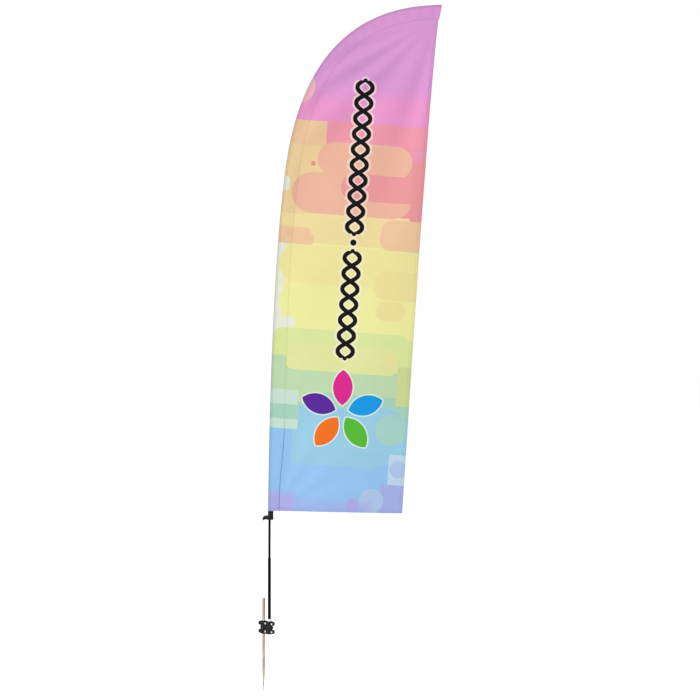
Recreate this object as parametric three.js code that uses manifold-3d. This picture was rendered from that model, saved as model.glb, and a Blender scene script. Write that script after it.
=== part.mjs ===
// Sail flag on a swivelling pole with a ground stake, in millimetres, +Z up.
// The origin is on the stake's axis at ground level, and the flag hangs in a plane parallel to XZ.
import * as THREE from 'three';
import { mergeVertices } from 'three/addons/utils/BufferGeometryUtils.js';
import Module from 'manifold-3d';

const wasm = await Module();
wasm.setup();

// Clearances
const fitGap = 0.3; // radial play of pieces that slide or turn in each other
const seatGap = 0.3; // between faces that rest on each other
const endChamfer = 1; // on the ends of rods and bosses

// Ground stake
const stakeRadius = 6;
const stakeAboveGround = 146;
const stakeBelowGround = 236;
const stakeTaperLength = 86;
const stakeTipRadius = 1.2;
const stakeTipLength = 6;

// Bracket: two moulded halves around the stake and the spindle
const bracketHeight = 53;
const bracketYawDeg = -30; // turned about the stake
const plateHalfDepth = 7;
const webMargin = 1.5; // of the web beyond the stake's boss
const webReach = 12.7; // of the web beyond the spindle's axis
const earReach = 9.5; // how far the ears stand out of the web
const earHeight = 14;
const lowerEarBottom = 3;
const upperEarBottom = 36;
const ribHeight = 5;
const ribReach = 3.5;
const stakeBossWall = 4.5;
const spindleBossFlare = 3; // how much wider its lower part is
const partingGap = 0.6;
const pocketDepth = 2;
const pocketOverlap = 1; // of a pocket into the bosses beside it

// Bracket screws, four around the spindle
const stakeBossHeadGap = 1.274; // between the stake's boss and the screw heads, at the plate's face
const spindleBossHeadGap = 2.253; // the same at the spindle's boss
const screwRadius = 2.5;
const screwHeadRadius = 3.6;
const screwHeadHeight = 3;
const nutAcrossFlats = 8;
const nutHeight = 4;
const screwTail = 1.2; // thread showing past the nut

// Spindle and its bearing
const spindleRadius = 3.5;
const spindleCollarRadius = 6;
const spindleCollarHeight = 4;
const spindleFoot = 5;
const spindleAboveBracket = 159;
const spindleNoseLength = 2;
const spindleNoseTaper = 1.5;
const washerRim = 2.5; // how far the washer stands out past the lower pole
const washerHeight = 3.6;
const bushFlangeHeight = 4.2;
const bushLength = 36;

// Pole sections: the others' radii follow from the middle one's
const middlePoleRadius = 4.9;
const lowerPoleWall = 1.3;
const lowerPoleLength = 250;
const socketDepth = 60; // how far the middle section stands in the lower one
const upperPoleStep = 0.7; // each next section's radius is smaller by its step
const tipPoleStep = 1;
const tubeWall = 1.5;
const stopPlugHeight = 20;
const spigotLength = 90;
const middlePoleShare = 0.36; // where the sections meet, as shares of the curved length
const upperPoleShare = 0.69;
const tipPoleShare = 0.985;
const capWall = 1.2;
const capLength = 12;
const capCrown = 1.8;
const capFlatShare = 0.7; // of its radius, inside the rounded edge

// Mast curve above the lower pole: two cubic arcs, measured from the spindle's axis and the ground
const bendKneeX = 90;
const bendKneeZ = 2014.8;
const mastReach = 706;
const mastTopZ = 2579;
const bendKneeLean = 0.205; // radians from upright
const lowerArcStartPull = 578;
const lowerArcEndPull = 307;
const upperArcStartPull = 420;
const upperArcEndPull = 300;
const mastEndDip = 0; // radians below level

// Sleeve and flag
const sleeveBottomZ = 506.5;
const sleevePlay = 0.6; // between the middle pole and the sleeve
const sleeveWall = 0.8;
const sleeveWidth = 52.3; // from the leading edge to the seam
const tipPocketDepth = 1.5;
const flagThickness = 0.8;
const flagFootX = 546;
const flagFootZ = 495.4;
const trailingEdgeHollow = 9.5; // how far the trailing edge curves in
const trailingHollowShare = 0.15; // where its pull lies, down from the top

// Hook clip below the sleeve
const clipHeight = 36;
const clipDrop = 1; // below the sleeve's hem
const clipWall = 2;
const clipEarReach = 8.1; // of the clamping ears beyond the barrel
const clipBlockHalfDepth = 4.6;
const clipSlot = 1.5;
const hookArmReach = 22.6; // beyond the barrel
const hookRise = 18;
const hookShoulder = 2; // how far the hook's top drops before its end
const hookArch = 6; // pull of the hollow under the arm
const hookHeelShare = 0.78; // of the reach, where the hollow turns down into the droop
const hookDroop = 4;
const hookHalfDepth = 4.5;
const clipScrewRadius = 1.5;
const clipScrewHeadRadius = 2.8;
const clipScrewHeadHeight = 1.8;
const clipNutAcrossFlats = 5.5;
const clipNutHeight = 2.4;
const clipScrewOffset = 4.2; // beyond the barrel
const clipScrewHeights = [9.5, 26.5];

// Values that follow from the ones above
const upperPoleRadius = middlePoleRadius - upperPoleStep;
const tipPoleRadius = upperPoleRadius - tipPoleStep;
const lowerPoleBore = middlePoleRadius + fitGap;
const lowerPoleRadius = lowerPoleBore + lowerPoleWall;
const washerRadius = lowerPoleRadius + washerRim;
const stakeBossRadius = stakeRadius + stakeBossWall;
const webLeft = -stakeBossRadius - webMargin;
const spindleBossTopRadius = washerRadius;
const spindleBossBottomRadius = spindleBossTopRadius + spindleBossFlare;
const stakeBossHalfWidth = halfWidthAtPlate(stakeBossRadius);
const spindleBossHalfWidth = halfWidthAtPlate(spindleBossBottomRadius);
const screwOffset = spindleBossHalfWidth + spindleBossHeadGap + screwHeadRadius; // from the spindle's axis
const spindleSpacing = stakeBossHalfWidth + stakeBossHeadGap + screwHeadRadius + screwOffset;
const webRight = spindleSpacing + webReach;
const bracketYaw = THREE.MathUtils.degToRad(bracketYawDeg);
const mastAxisX = spindleSpacing * Math.cos(bracketYaw);
const mastAxisY = spindleSpacing * Math.sin(bracketYaw);
const screwHeights = [lowerEarBottom + earHeight / 2, upperEarBottom + earHeight / 2];
const washerBottomZ = bracketHeight + seatGap;
const bushBottomZ = washerBottomZ + washerHeight + seatGap;
const lowerPoleBottomZ = bushBottomZ + bushFlangeHeight + seatGap;
const lowerPoleTopZ = lowerPoleBottomZ + lowerPoleLength;
const middlePoleBottomZ = lowerPoleTopZ - socketDepth;
const sleeveBore = middlePoleRadius + sleevePlay;
const sleeveRadius = sleeveBore + sleeveWall;
const seamOffset = sleeveWidth - sleeveRadius;
const clipTopZ = sleeveBottomZ - clipDrop;
const clipBottomZ = clipTopZ - clipHeight;
const clipRadius = middlePoleRadius + fitGap + clipWall;
const clipBlockReach = clipRadius + clipEarReach;
const clipScrewX = clipRadius + clipScrewOffset;
const hookReach = clipRadius + hookArmReach;

const roundSides = 24;
const tubeSides = 12;
const sleeveSteps = 40;

// Half the width that a round boss has at the plate's face.
function halfWidthAtPlate(radius) {
  return Math.sqrt(radius ** 2 - plateHalfDepth ** 2);
}

function material(colour, roughness, metalness) {
  return new THREE.MeshStandardMaterial({ color: colour, roughness, metalness });
}

function named(name, geometry, finish) {
  const mesh = new THREE.Mesh(geometry, finish);
  mesh.name = name;
  return mesh;
}

// Closed geometry to a manifold solid: shared corners are merged and collapsed triangles dropped.
function toSolid(geometry) {
  const bare = geometry.clone();
  bare.deleteAttribute('normal');
  bare.deleteAttribute('uv');
  const merged = mergeVertices(bare);
  const corners = merged.index.array;
  const kept = [];
  for (let i = 0; i < corners.length; i += 3) {
    const [a, b, c] = corners.slice(i, i + 3);
    if (a !== b && b !== c && c !== a) kept.push(a, b, c);
  }
  return new wasm.Manifold(new wasm.Mesh({
    numProp: 3,
    vertProperties: new Float32Array(merged.attributes.position.array),
    triVerts: new Uint32Array(kept),
  }));
}

function toGeometry(solid) {
  const mesh = solid.getMesh();
  const geometry = new THREE.BufferGeometry();
  geometry.setAttribute('position', new THREE.BufferAttribute(mesh.vertProperties, 3));
  geometry.setIndex(new THREE.BufferAttribute(mesh.triVerts, 1));
  geometry.computeVertexNormals();
  return geometry;
}

function joined(geometries) {
  return geometries.map(toSolid).reduce((whole, piece) => whole.add(piece));
}

function cut(solid, geometries) {
  return geometries.map(toSolid).reduce((whole, piece) => whole.subtract(piece), solid);
}

// Outline through corner points, each corner rounded to the given radius.
function roundedShape(points, radius) {
  const corners = points.map(([x, y]) => new THREE.Vector2(x, y));
  const shape = new THREE.Shape();
  corners.forEach((corner, i) => {
    const before = corners[(i + corners.length - 1) % corners.length];
    const after = corners[(i + 1) % corners.length];
    const entry = corner.clone().lerp(before, radius / corner.distanceTo(before));
    const exit = corner.clone().lerp(after, radius / corner.distanceTo(after));
    if (i === 0) shape.moveTo(entry.x, entry.y);
    else shape.lineTo(entry.x, entry.y);
    shape.quadraticCurveTo(corner.x, corner.y, exit.x, exit.y);
  });
  shape.closePath();
  return shape;
}

// A shape drawn in X and Z, given a depth from -halfDepth to +halfDepth in Y.
function uprightPlate(shape, halfDepth, bevel = 0, curveSegments = 3) {
  const plate = new THREE.ExtrudeGeometry(shape, {
    depth: 2 * (halfDepth - bevel),
    curveSegments,
    bevelEnabled: bevel > 0,
    bevelThickness: bevel,
    bevelSize: bevel,
    bevelOffset: -bevel,
    bevelSegments: 2,
  });
  return plate.translate(0, 0, bevel - halfDepth).rotateX(Math.PI / 2);
}

function box(xFrom, xTo, yFrom, yTo, zFrom, zTo) {
  const block = new THREE.BoxGeometry(xTo - xFrom, yTo - yFrom, zTo - zFrom);
  return block.translate((xFrom + xTo) / 2, (yFrom + yTo) / 2, (zFrom + zTo) / 2);
}

// A solid turned about Z from [radius, z] points that start and end on the axis.
function turned(profile, sides = roundSides) {
  return new THREE.LatheGeometry(profile.map(([r, z]) => new THREE.Vector2(r, z)), sides)
    .rotateX(Math.PI / 2);
}

function rod(radius, zFrom, zTo, sides = roundSides) {
  return new THREE.CylinderGeometry(radius, radius, zTo - zFrom, sides)
    .rotateX(Math.PI / 2)
    .translate(0, 0, (zFrom + zTo) / 2);
}

// A tube about Z: its profile runs round the wall and closes on itself.
function tube(outer, inner, zFrom, zTo, sides = roundSides) {
  return turned([[inner, zFrom], [outer, zFrom], [outer, zTo], [inner, zTo], [inner, zFrom]], sides);
}

// A rod lying along Y at [x, z].
function crossRod(radius, x, z, yFrom, yTo, sides = roundSides) {
  return new THREE.CylinderGeometry(radius, radius, yTo - yFrom, sides)
    .translate(x, (yFrom + yTo) / 2, z);
}

// Pan-head screw along Y: its head's underside is at headY and its point at tipY.
function crossScrew(x, z, headY, tipY, radius, headRadius, headHeight) {
  const crown = headHeight * 0.3;
  const profile = [
    [0, 0],
    [headRadius * 0.7, 0],
    [headRadius, crown],
    [headRadius, headHeight],
    [radius, headHeight],
    [radius, headHeight + tipY - headY],
    [0, headHeight + tipY - headY],
  ];
  return new THREE.LatheGeometry(profile.map(([r, y]) => new THREE.Vector2(r, y)), 16)
    .translate(x, headY - headHeight, z);
}

// Hexagon nut along Y with a clear bore.
function crossNut(x, z, yFrom, height, acrossFlats, boreRadius) {
  const hexagon = crossRod(acrossFlats / Math.sqrt(3), x, z, yFrom, yFrom + height, 6);
  const bore = crossRod(boreRadius, x, z, yFrom - 1, yFrom + height + 1, 16);
  return toGeometry(cut(toSolid(hexagon), [bore]));
}

// The mast's curve above the lower pole, in the mast's own frame (X sideways, Z up).
const kneeDirection = new THREE.Vector3(Math.sin(bendKneeLean), 0, Math.cos(bendKneeLean));
const mastEndDirection = new THREE.Vector3(Math.cos(mastEndDip), 0, -Math.sin(mastEndDip));
const bendStart = new THREE.Vector3(0, 0, lowerPoleTopZ);
const bendKnee = new THREE.Vector3(bendKneeX, 0, bendKneeZ);
const mastTop = new THREE.Vector3(mastReach, 0, mastTopZ);

const lowerArc = new THREE.CubicBezierCurve3(
  bendStart,
  bendStart.clone().add(new THREE.Vector3(0, 0, lowerArcStartPull)),
  bendKnee.clone().addScaledVector(kneeDirection, -lowerArcEndPull),
  bendKnee,
);
const upperArc = new THREE.CubicBezierCurve3(
  bendKnee,
  bendKnee.clone().addScaledVector(kneeDirection, upperArcStartPull),
  mastTop.clone().addScaledVector(mastEndDirection, -upperArcEndPull),
  mastTop,
);
const mastCurve = new THREE.CurvePath();
mastCurve.add(new THREE.LineCurve3(new THREE.Vector3(0, 0, middlePoleBottomZ), bendStart));
mastCurve.add(lowerArc);
mastCurve.add(upperArc);

// A stretch of the mast's curve between two shares of its length.
class MastStretch extends THREE.Curve {
  constructor(from, to) {
    super();
    this.from = from;
    this.to = to;
  }

  getPoint(t) {
    return mastCurve.getPointAt(THREE.MathUtils.lerp(this.from, this.to, t));
  }
}

const mastLength = mastCurve.getLength();

// Share of the mast's length at which the curve reaches a height, found by halving.
function shareAtHeight(z) {
  let low = 0;
  let high = 1;
  for (let i = 0; i < 40; i += 1) {
    const middle = (low + high) / 2;
    if (mastCurve.getPointAt(middle).z < z) low = middle;
    else high = middle;
  }
  return low;
}

const sleeveShare = shareAtHeight(sleeveBottomZ);

function circlePath(radius, sides, path = new THREE.Shape()) {
  return path.setFromPoints(Array.from({ length: sides }, (_, i) => {
    const angle = (2 * Math.PI * i) / sides;
    return new THREE.Vector2(radius * Math.cos(angle), radius * Math.sin(angle));
  }));
}

function alongMast(shape, from, to, steps) {
  return new THREE.ExtrudeGeometry(shape, { steps, extrudePath: new MastStretch(from, to) });
}

function mastTube(radius, from, to, steps) {
  const ring = circlePath(radius, tubeSides);
  ring.holes.push(circlePath(radius - tubeWall, tubeSides, new THREE.Path()));
  return alongMast(ring, from, to, steps);
}

// A rod inside two neighbouring sections, half in each.
function spigot(radius, share) {
  const reach = spigotLength / 2 / mastLength;
  return alongMast(circlePath(radius, tubeSides), share - reach, share + reach, 6);
}

// Bracket

function wholeBracket() {
  const earLeft = webLeft - earReach;
  const earRight = webRight + earReach;
  const ribMiddle = bracketHeight / 2;
  const rightSide = [
    [webRight, 0],
    [webRight, lowerEarBottom],
    [earRight, lowerEarBottom],
    [earRight, lowerEarBottom + earHeight],
    [webRight, lowerEarBottom + earHeight],
    [webRight, ribMiddle - ribHeight / 2],
    [webRight + ribReach, ribMiddle - ribHeight / 2],
    [webRight + ribReach, ribMiddle + ribHeight / 2],
    [webRight, ribMiddle + ribHeight / 2],
    [webRight, upperEarBottom],
    [earRight, upperEarBottom],
    [earRight, upperEarBottom + earHeight],
    [webRight, upperEarBottom + earHeight],
    [webRight, bracketHeight],
  ];
  const leftSide = [
    [webLeft, bracketHeight],
    [webLeft, upperEarBottom + earHeight],
    [earLeft, upperEarBottom + earHeight],
    [earLeft, upperEarBottom],
    [webLeft, upperEarBottom],
    [webLeft, lowerEarBottom + earHeight],
    [earLeft, lowerEarBottom + earHeight],
    [earLeft, lowerEarBottom],
    [webLeft, lowerEarBottom],
    [webLeft, 0],
  ];
  const plate = uprightPlate(roundedShape([...rightSide, ...leftSide], 1), plateHalfDepth, 0.8, 2);
  const stakeBoss = rod(stakeBossRadius, 0, bracketHeight);
  const spindleBoss = turned([
    [0, 0],
    [spindleBossBottomRadius, 0],
    [spindleBossBottomRadius, upperEarBottom / 3],
    [spindleBossTopRadius, bracketHeight - endChamfer],
    [spindleBossTopRadius - endChamfer, bracketHeight],
    [0, bracketHeight],
  ]).translate(spindleSpacing, 0, 0);

  const stakeHole = rod(stakeRadius + fitGap, -1, bracketHeight + 1);
  const collarBottom = spindleFoot - seatGap;
  const collarTop = spindleFoot + spindleCollarHeight + seatGap;
  const spindleHole = turned([
    [0, collarBottom],
    [spindleCollarRadius + fitGap, collarBottom],
    [spindleCollarRadius + fitGap, collarTop],
    [spindleRadius + fitGap, collarTop],
    [spindleRadius + fitGap, bracketHeight + 1],
    [0, bracketHeight + 1],
  ]).translate(spindleSpacing, 0, 0);
  const screwHoles = screwHeights.flatMap((z) => [-1, 1].map((side) => crossRod(
    screwRadius + fitGap,
    spindleSpacing + side * screwOffset,
    z,
    -2 * plateHalfDepth,
    2 * plateHalfDepth,
    16,
  )));
  // Weight-saving pockets between the bosses, on both faces and above each other.
  const pocketLeft = stakeBossRadius - pocketOverlap;
  const pocketRight = spindleSpacing - spindleBossBottomRadius + pocketOverlap;
  const floor = plateHalfDepth - pocketDepth;
  const lowerPocket = [lowerEarBottom + earHeight, ribMiddle - ribHeight / 2];
  const upperPocket = [ribMiddle + ribHeight / 2, upperEarBottom];
  const pockets = [lowerPocket, upperPocket].flatMap(([bottom, top]) => [
    box(pocketLeft, pocketRight, floor, plateHalfDepth + 1, bottom, top),
    box(pocketLeft, pocketRight, -plateHalfDepth - 1, -floor, bottom, top),
  ]);
  return cut(joined([plate, stakeBoss, spindleBoss]), [
    stakeHole,
    spindleHole,
    ...screwHoles,
    ...pockets,
  ]);
}

function bracketHalves() {
  const whole = wholeBracket();
  const far = 100;
  const front = box(-far, far, -far, -partingGap / 2, -far, far);
  const rear = box(-far, far, partingGap / 2, far, -far, far);
  return {
    front: toGeometry(whole.intersect(toSolid(front))),
    rear: toGeometry(whole.intersect(toSolid(rear))),
  };
}

function groundStake() {
  const tip = -stakeBelowGround;
  return turned([
    [0, tip],
    [stakeTipRadius, tip + stakeTipLength],
    [stakeRadius, tip + stakeTaperLength],
    [stakeRadius, stakeAboveGround - endChamfer],
    [stakeRadius - endChamfer, stakeAboveGround],
    [0, stakeAboveGround],
  ]);
}

function spindlePin() {
  const top = bracketHeight + spindleAboveBracket;
  return turned([
    [0, spindleFoot],
    [spindleCollarRadius, spindleFoot],
    [spindleCollarRadius, spindleFoot + spindleCollarHeight],
    [spindleRadius, spindleFoot + spindleCollarHeight],
    [spindleRadius, top - spindleNoseLength],
    [spindleRadius - spindleNoseTaper, top],
    [0, top],
  ]);
}

function poleBush() {
  const bore = spindleRadius + fitGap;
  const flangeTop = bushBottomZ + bushFlangeHeight;
  const top = lowerPoleBottomZ + bushLength;
  const barrel = lowerPoleBore - fitGap;
  return turned([
    [bore, bushBottomZ],
    [lowerPoleRadius, bushBottomZ],
    [lowerPoleRadius, flangeTop],
    [barrel, flangeTop],
    [barrel, top],
    [bore, top],
    [bore, bushBottomZ],
  ]);
}

// Cup over the end of the last section.
function tipCap() {
  const share = tipPoleShare;
  const end = mastCurve.getPointAt(share);
  const direction = mastCurve.getTangentAt(share);
  const inner = tipPoleRadius + fitGap;
  const outer = inner + capWall;
  const cap = turned([
    [0, seatGap],
    [inner, seatGap],
    [inner, seatGap - capLength],
    [outer, seatGap - capLength],
    [outer, seatGap],
    [outer * capFlatShare, seatGap + capWall],
    [0, seatGap + capCrown],
  ], 16);
  const turn = new THREE.Quaternion().setFromUnitVectors(new THREE.Vector3(0, 0, 1), direction);
  return cap.applyQuaternion(turn).translate(end.x, end.y, end.z);
}

// Sleeve section across the mast: a round pocket with a flat double-layer tail up to the seam.
// The tail runs along the shape's Y, which an extrusion along the mast turns to the inside of the bend.
function sleeveOutline() {
  const tailStart = Math.sqrt(sleeveRadius ** 2 - sleeveWall ** 2);
  const startAngle = Math.asin(sleeveWall / sleeveRadius);
  const outline = new THREE.Shape();
  outline.moveTo(sleeveWall, seamOffset);
  outline.lineTo(-sleeveWall, seamOffset);
  outline.lineTo(-sleeveWall, tailStart);
  for (let i = 1; i < tubeSides; i += 1) {
    const angle = startAngle + ((2 * Math.PI - 2 * startAngle) * i) / tubeSides;
    outline.lineTo(-sleeveRadius * Math.sin(angle), sleeveRadius * Math.cos(angle));
  }
  outline.lineTo(sleeveWall, tailStart);
  outline.closePath();
  return outline;
}

function poleSleeve() {
  const outline = sleeveOutline();
  outline.holes.push(circlePath(sleeveBore, tubeSides, new THREE.Path()));
  return alongMast(outline, sleeveShare, 1, sleeveSteps);
}

// Closes the sleeve's upper end, square to the mast.
function tipPocket() {
  const shape = new THREE.ExtrudeGeometry(sleeveOutline(), { depth: tipPocketDepth, bevelEnabled: false });
  return shape
    .rotateY(Math.PI / 2)
    .rotateX(-Math.PI / 2)
    .rotateY(mastEndDip)
    .translate(mastTop.x, 0, mastTop.z)
    .translate(mastEndDirection.x * seatGap, 0, mastEndDirection.z * seatGap);
}

// Panel between the sleeve's seam, the hollow trailing edge and the straight foot.
function flagPanel() {
  const seam = [];
  for (let i = 0; i <= sleeveSteps; i += 1) {
    const share = THREE.MathUtils.lerp(sleeveShare, 1, i / sleeveSteps);
    const point = mastCurve.getPointAt(share);
    const direction = mastCurve.getTangentAt(share);
    const offset = seamOffset + seatGap;
    seam.push(new THREE.Vector2(point.x + direction.z * offset, point.z - direction.x * offset));
  }
  const shape = new THREE.Shape();
  shape.setFromPoints(seam);
  const top = seam[sleeveSteps];
  const foot = new THREE.Vector2(flagFootX, flagFootZ);
  const pull = top.clone().lerp(foot, trailingHollowShare);
  shape.quadraticCurveTo(pull.x - 2 * trailingEdgeHollow, pull.y, foot.x, foot.y);
  shape.closePath();
  return uprightPlate(shape, flagThickness / 2, 0, 8);
}

function hookClip() {
  const barrel = rod(clipRadius, clipBottomZ, clipTopZ);
  const block = box(0, clipBlockReach, -clipBlockHalfDepth, clipBlockHalfDepth, clipBottomZ, clipTopZ);
  // Hook outline: hollow underside, drooping end, rounded nose and a top that falls off gently
  const base = clipBottomZ;
  const root = -clipRadius + clipWall;
  const heel = -hookReach * hookHeelShare;
  const drip = (heel - hookReach) / 2;
  const hook = new THREE.Shape();
  hook.moveTo(root, base);
  hook.quadraticCurveTo((root + heel) / 2, base + hookArch, heel, base);
  hook.quadraticCurveTo(heel, base - hookDroop, drip, base - hookDroop);
  hook.quadraticCurveTo(-hookReach, base - hookDroop, -hookReach, base + hookDroop);
  hook.quadraticCurveTo(-hookReach, base + hookRise - hookShoulder, drip, base + hookRise - hookShoulder);
  hook.quadraticCurveTo((root + heel) / 2, base + hookRise, root, base + hookRise);
  hook.closePath();
  const arm = uprightPlate(hook, hookHalfDepth, 0.8, 5);
  const bore = rod(middlePoleRadius + fitGap, clipBottomZ - 1, clipTopZ + 1);
  const slot = box(0, clipBlockReach + 1, -clipSlot / 2, clipSlot / 2, clipBottomZ - 1, clipTopZ + 1);
  const screwHoles = clipScrewHeights.map((height) => crossRod(
    clipScrewRadius + fitGap,
    clipScrewX,
    clipBottomZ + height,
    -2 * clipBlockHalfDepth,
    2 * clipBlockHalfDepth,
    12,
  ));
  return toGeometry(cut(joined([barrel, block, arm]), [bore, slot, ...screwHoles]));
}

// Finishes
const zincSteel = material('#b9b3a8', 0.32, 0.9);
const polishedSteel = material('#c9c9c6', 0.25, 0.95);
const blackenedSteel = material('#2a2829', 0.4, 0.9);
const blackPlastic = material('#1c1b1d', 0.5, 0);
const whiteNylon = material('#e6e6ea', 0.45, 0);
const blackPole = material('#0c0c0d', 0.38, 0);
const blackRubber = material('#18181a', 0.8, 0);
const flagCloth = material('#e8b6b0', 0.85, 0);
const sleeveCloth = material('#dcc0c8', 0.85, 0);

const sailFlag = new THREE.Group();

const bracketGroup = new THREE.Group();
bracketGroup.rotation.z = bracketYaw;
sailFlag.add(bracketGroup);
bracketGroup.add(named('ground_stake', groundStake(), zincSteel));

const halves = bracketHalves();
bracketGroup.add(named('bracket_front', halves.front, blackPlastic));
bracketGroup.add(named('bracket_rear', halves.rear, blackPlastic));

let screwNumber = 0;
for (const z of screwHeights) {
  for (const side of [-1, 1]) {
    screwNumber += 1;
    const x = spindleSpacing + side * screwOffset;
    const nutY = plateHalfDepth + seatGap;
    const screw = crossScrew(
      x,
      z,
      -plateHalfDepth - seatGap,
      nutY + nutHeight + screwTail,
      screwRadius,
      screwHeadRadius,
      screwHeadHeight,
    );
    const nut = crossNut(x, z, nutY, nutHeight, nutAcrossFlats, screwRadius + fitGap);
    bracketGroup.add(named(`bracket_screw_${screwNumber}`, screw, polishedSteel));
    bracketGroup.add(named(`bracket_nut_${screwNumber}`, nut, polishedSteel));
  }
}

const mastGroup = new THREE.Group();
mastGroup.position.set(mastAxisX, mastAxisY, 0);
sailFlag.add(mastGroup);

mastGroup.add(named('spindle_pin', spindlePin(), polishedSteel));
mastGroup.add(named(
  'thrust_washer',
  tube(washerRadius, spindleRadius + fitGap, washerBottomZ, washerBottomZ + washerHeight),
  whiteNylon,
));
mastGroup.add(named('pole_bush', poleBush(), whiteNylon));
mastGroup.add(named(
  'lower_pole',
  tube(lowerPoleRadius, lowerPoleBore, lowerPoleBottomZ, lowerPoleTopZ),
  blackPole,
));
mastGroup.add(named(
  'pole_stop_plug',
  rod(
    lowerPoleBore - fitGap,
    middlePoleBottomZ - seatGap - stopPlugHeight,
    middlePoleBottomZ - seatGap,
  ),
  whiteNylon,
));

const jointGap = seatGap / mastLength;
mastGroup.add(named('middle_pole', mastTube(middlePoleRadius, 0, middlePoleShare, 20), blackPole));
mastGroup.add(named(
  'upper_pole',
  mastTube(upperPoleRadius, middlePoleShare + jointGap, upperPoleShare, 24),
  blackPole,
));
mastGroup.add(named(
  'tip_pole',
  mastTube(tipPoleRadius, upperPoleShare + jointGap, tipPoleShare, 30),
  blackPole,
));
mastGroup.add(named(
  'joint_spigot_lower',
  spigot(upperPoleRadius - tubeWall - 2 * fitGap, middlePoleShare),
  polishedSteel,
));
mastGroup.add(named(
  'joint_spigot_upper',
  spigot(tipPoleRadius - tubeWall - 2 * fitGap, upperPoleShare),
  polishedSteel,
));
mastGroup.add(named('tip_cap', tipCap(), blackRubber));
mastGroup.add(named('pole_sleeve', poleSleeve(), sleeveCloth));
mastGroup.add(named('tip_pocket', tipPocket(), sleeveCloth));
mastGroup.add(named('flag_panel', flagPanel(), flagCloth));

const clipShare = shareAtHeight((clipTopZ + clipBottomZ) / 2);
const clipCentre = mastCurve.getPointAt(clipShare);
const clipDirection = mastCurve.getTangentAt(clipShare);
const clipGroup = new THREE.Group();
clipGroup.position.copy(clipCentre);
clipGroup.rotation.y = Math.atan2(clipDirection.x, clipDirection.z);
mastGroup.add(clipGroup);

// The clip's pieces are drawn at their own height, then lowered onto the group's origin.
function onClip(name, geometry, finish) {
  clipGroup.add(named(name, geometry.translate(0, 0, -clipCentre.z), finish));
}

onClip('hook_clip', hookClip(), blackPlastic);
clipScrewHeights.forEach((height, i) => {
  const z = clipBottomZ + height;
  const nutY = clipBlockHalfDepth + seatGap;
  const screw = crossScrew(
    clipScrewX,
    z,
    -clipBlockHalfDepth - seatGap,
    nutY + clipNutHeight + screwTail / 2,
    clipScrewRadius,
    clipScrewHeadRadius,
    clipScrewHeadHeight,
  );
  const nut = crossNut(clipScrewX, z, nutY, clipNutHeight, clipNutAcrossFlats, clipScrewRadius + fitGap);
  onClip(`clip_screw_${i + 1}`, screw, blackenedSteel);
  onClip(`clip_nut_${i + 1}`, nut, blackenedSteel);
});

export default sailFlag;
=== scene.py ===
import math

import bmesh
import bpy
import numpy as np
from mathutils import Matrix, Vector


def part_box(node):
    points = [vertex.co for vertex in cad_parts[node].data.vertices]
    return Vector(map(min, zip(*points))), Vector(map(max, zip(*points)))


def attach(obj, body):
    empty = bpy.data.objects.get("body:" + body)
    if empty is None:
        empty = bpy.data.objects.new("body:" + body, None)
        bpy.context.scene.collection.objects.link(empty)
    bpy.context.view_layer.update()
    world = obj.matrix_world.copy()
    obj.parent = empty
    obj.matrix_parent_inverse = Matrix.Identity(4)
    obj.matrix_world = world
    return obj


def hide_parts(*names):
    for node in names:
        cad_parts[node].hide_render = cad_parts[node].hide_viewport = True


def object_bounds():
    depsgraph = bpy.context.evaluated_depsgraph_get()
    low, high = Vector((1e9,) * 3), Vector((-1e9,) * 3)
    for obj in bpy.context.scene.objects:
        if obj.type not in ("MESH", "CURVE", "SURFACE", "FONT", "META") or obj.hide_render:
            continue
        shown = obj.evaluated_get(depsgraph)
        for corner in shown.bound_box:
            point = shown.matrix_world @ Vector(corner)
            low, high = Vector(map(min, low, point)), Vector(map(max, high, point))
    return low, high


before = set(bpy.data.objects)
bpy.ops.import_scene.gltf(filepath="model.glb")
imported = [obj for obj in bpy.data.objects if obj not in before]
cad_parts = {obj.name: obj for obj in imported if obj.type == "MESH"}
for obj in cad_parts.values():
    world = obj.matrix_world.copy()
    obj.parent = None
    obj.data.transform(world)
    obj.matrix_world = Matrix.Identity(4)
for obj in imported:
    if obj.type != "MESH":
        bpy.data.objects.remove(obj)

# Sail flag on a swivelling pole with a ground stake, in metres, in the frame's own axes.
cadLow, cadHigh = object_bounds()
print("frame loaded")


def span(node):
    low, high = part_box(node)
    return np.array(low), np.array(high)


spindleLow, spindleHigh = span("spindle_pin")
lowerPoleLow, lowerPoleHigh = span("lower_pole")
stakeLow, stakeHigh = span("ground_stake")
mastX, mastY = (spindleLow + spindleHigh)[:2] / 2
bracketYaw = math.atan2(mastY, mastX)


def rgb(red, green, blue):
    # display values of 0 to 255 made linear
    share = np.array([red, green, blue]) / 255
    return tuple(np.where(share > 0.04045, ((share + 0.055) / 1.055) ** 2.4, share / 12.92)) + (1,)


# camera and light

view = dict(lens=80.8, distance=6.458, aimX=0.3558, aimZ=1.1675)

camera = bpy.data.objects.new("camera", bpy.data.cameras.new("camera"))
camera.data.lens = view["lens"]
camera.data.sensor_width = 36
camera.location = (view["aimX"], mastY - view["distance"], view["aimZ"])
camera.rotation_euler = (math.pi / 2, 0, 0)
bpy.context.collection.objects.link(camera)
bpy.context.scene.camera = camera
bpy.context.scene.view_settings.view_transform = "Standard"
bpy.context.view_layer.update()

studio = dict(
    sky=1.0,
    lamps=[
        dict(name="keyLamp", place=(-6.4, -4.2, 6.0), aim=(0.3, 0, 1.5), size=1.6, watts=520),
        dict(name="fillLamp", place=(2.4, -4.6, 2.0), aim=(0.3, 0, 1.2), size=2.5, watts=18),
        dict(name="rimLamp", place=(-2.4, 3.0, 3.2), aim=(0.3, 0, 1.2), size=2.0, watts=36),
        dict(name="lowLamp", place=(-0.9, -1.6, 0.55), aim=(0.02, 0, 0.05), size=0.7, watts=3),
    ],
)

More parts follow.
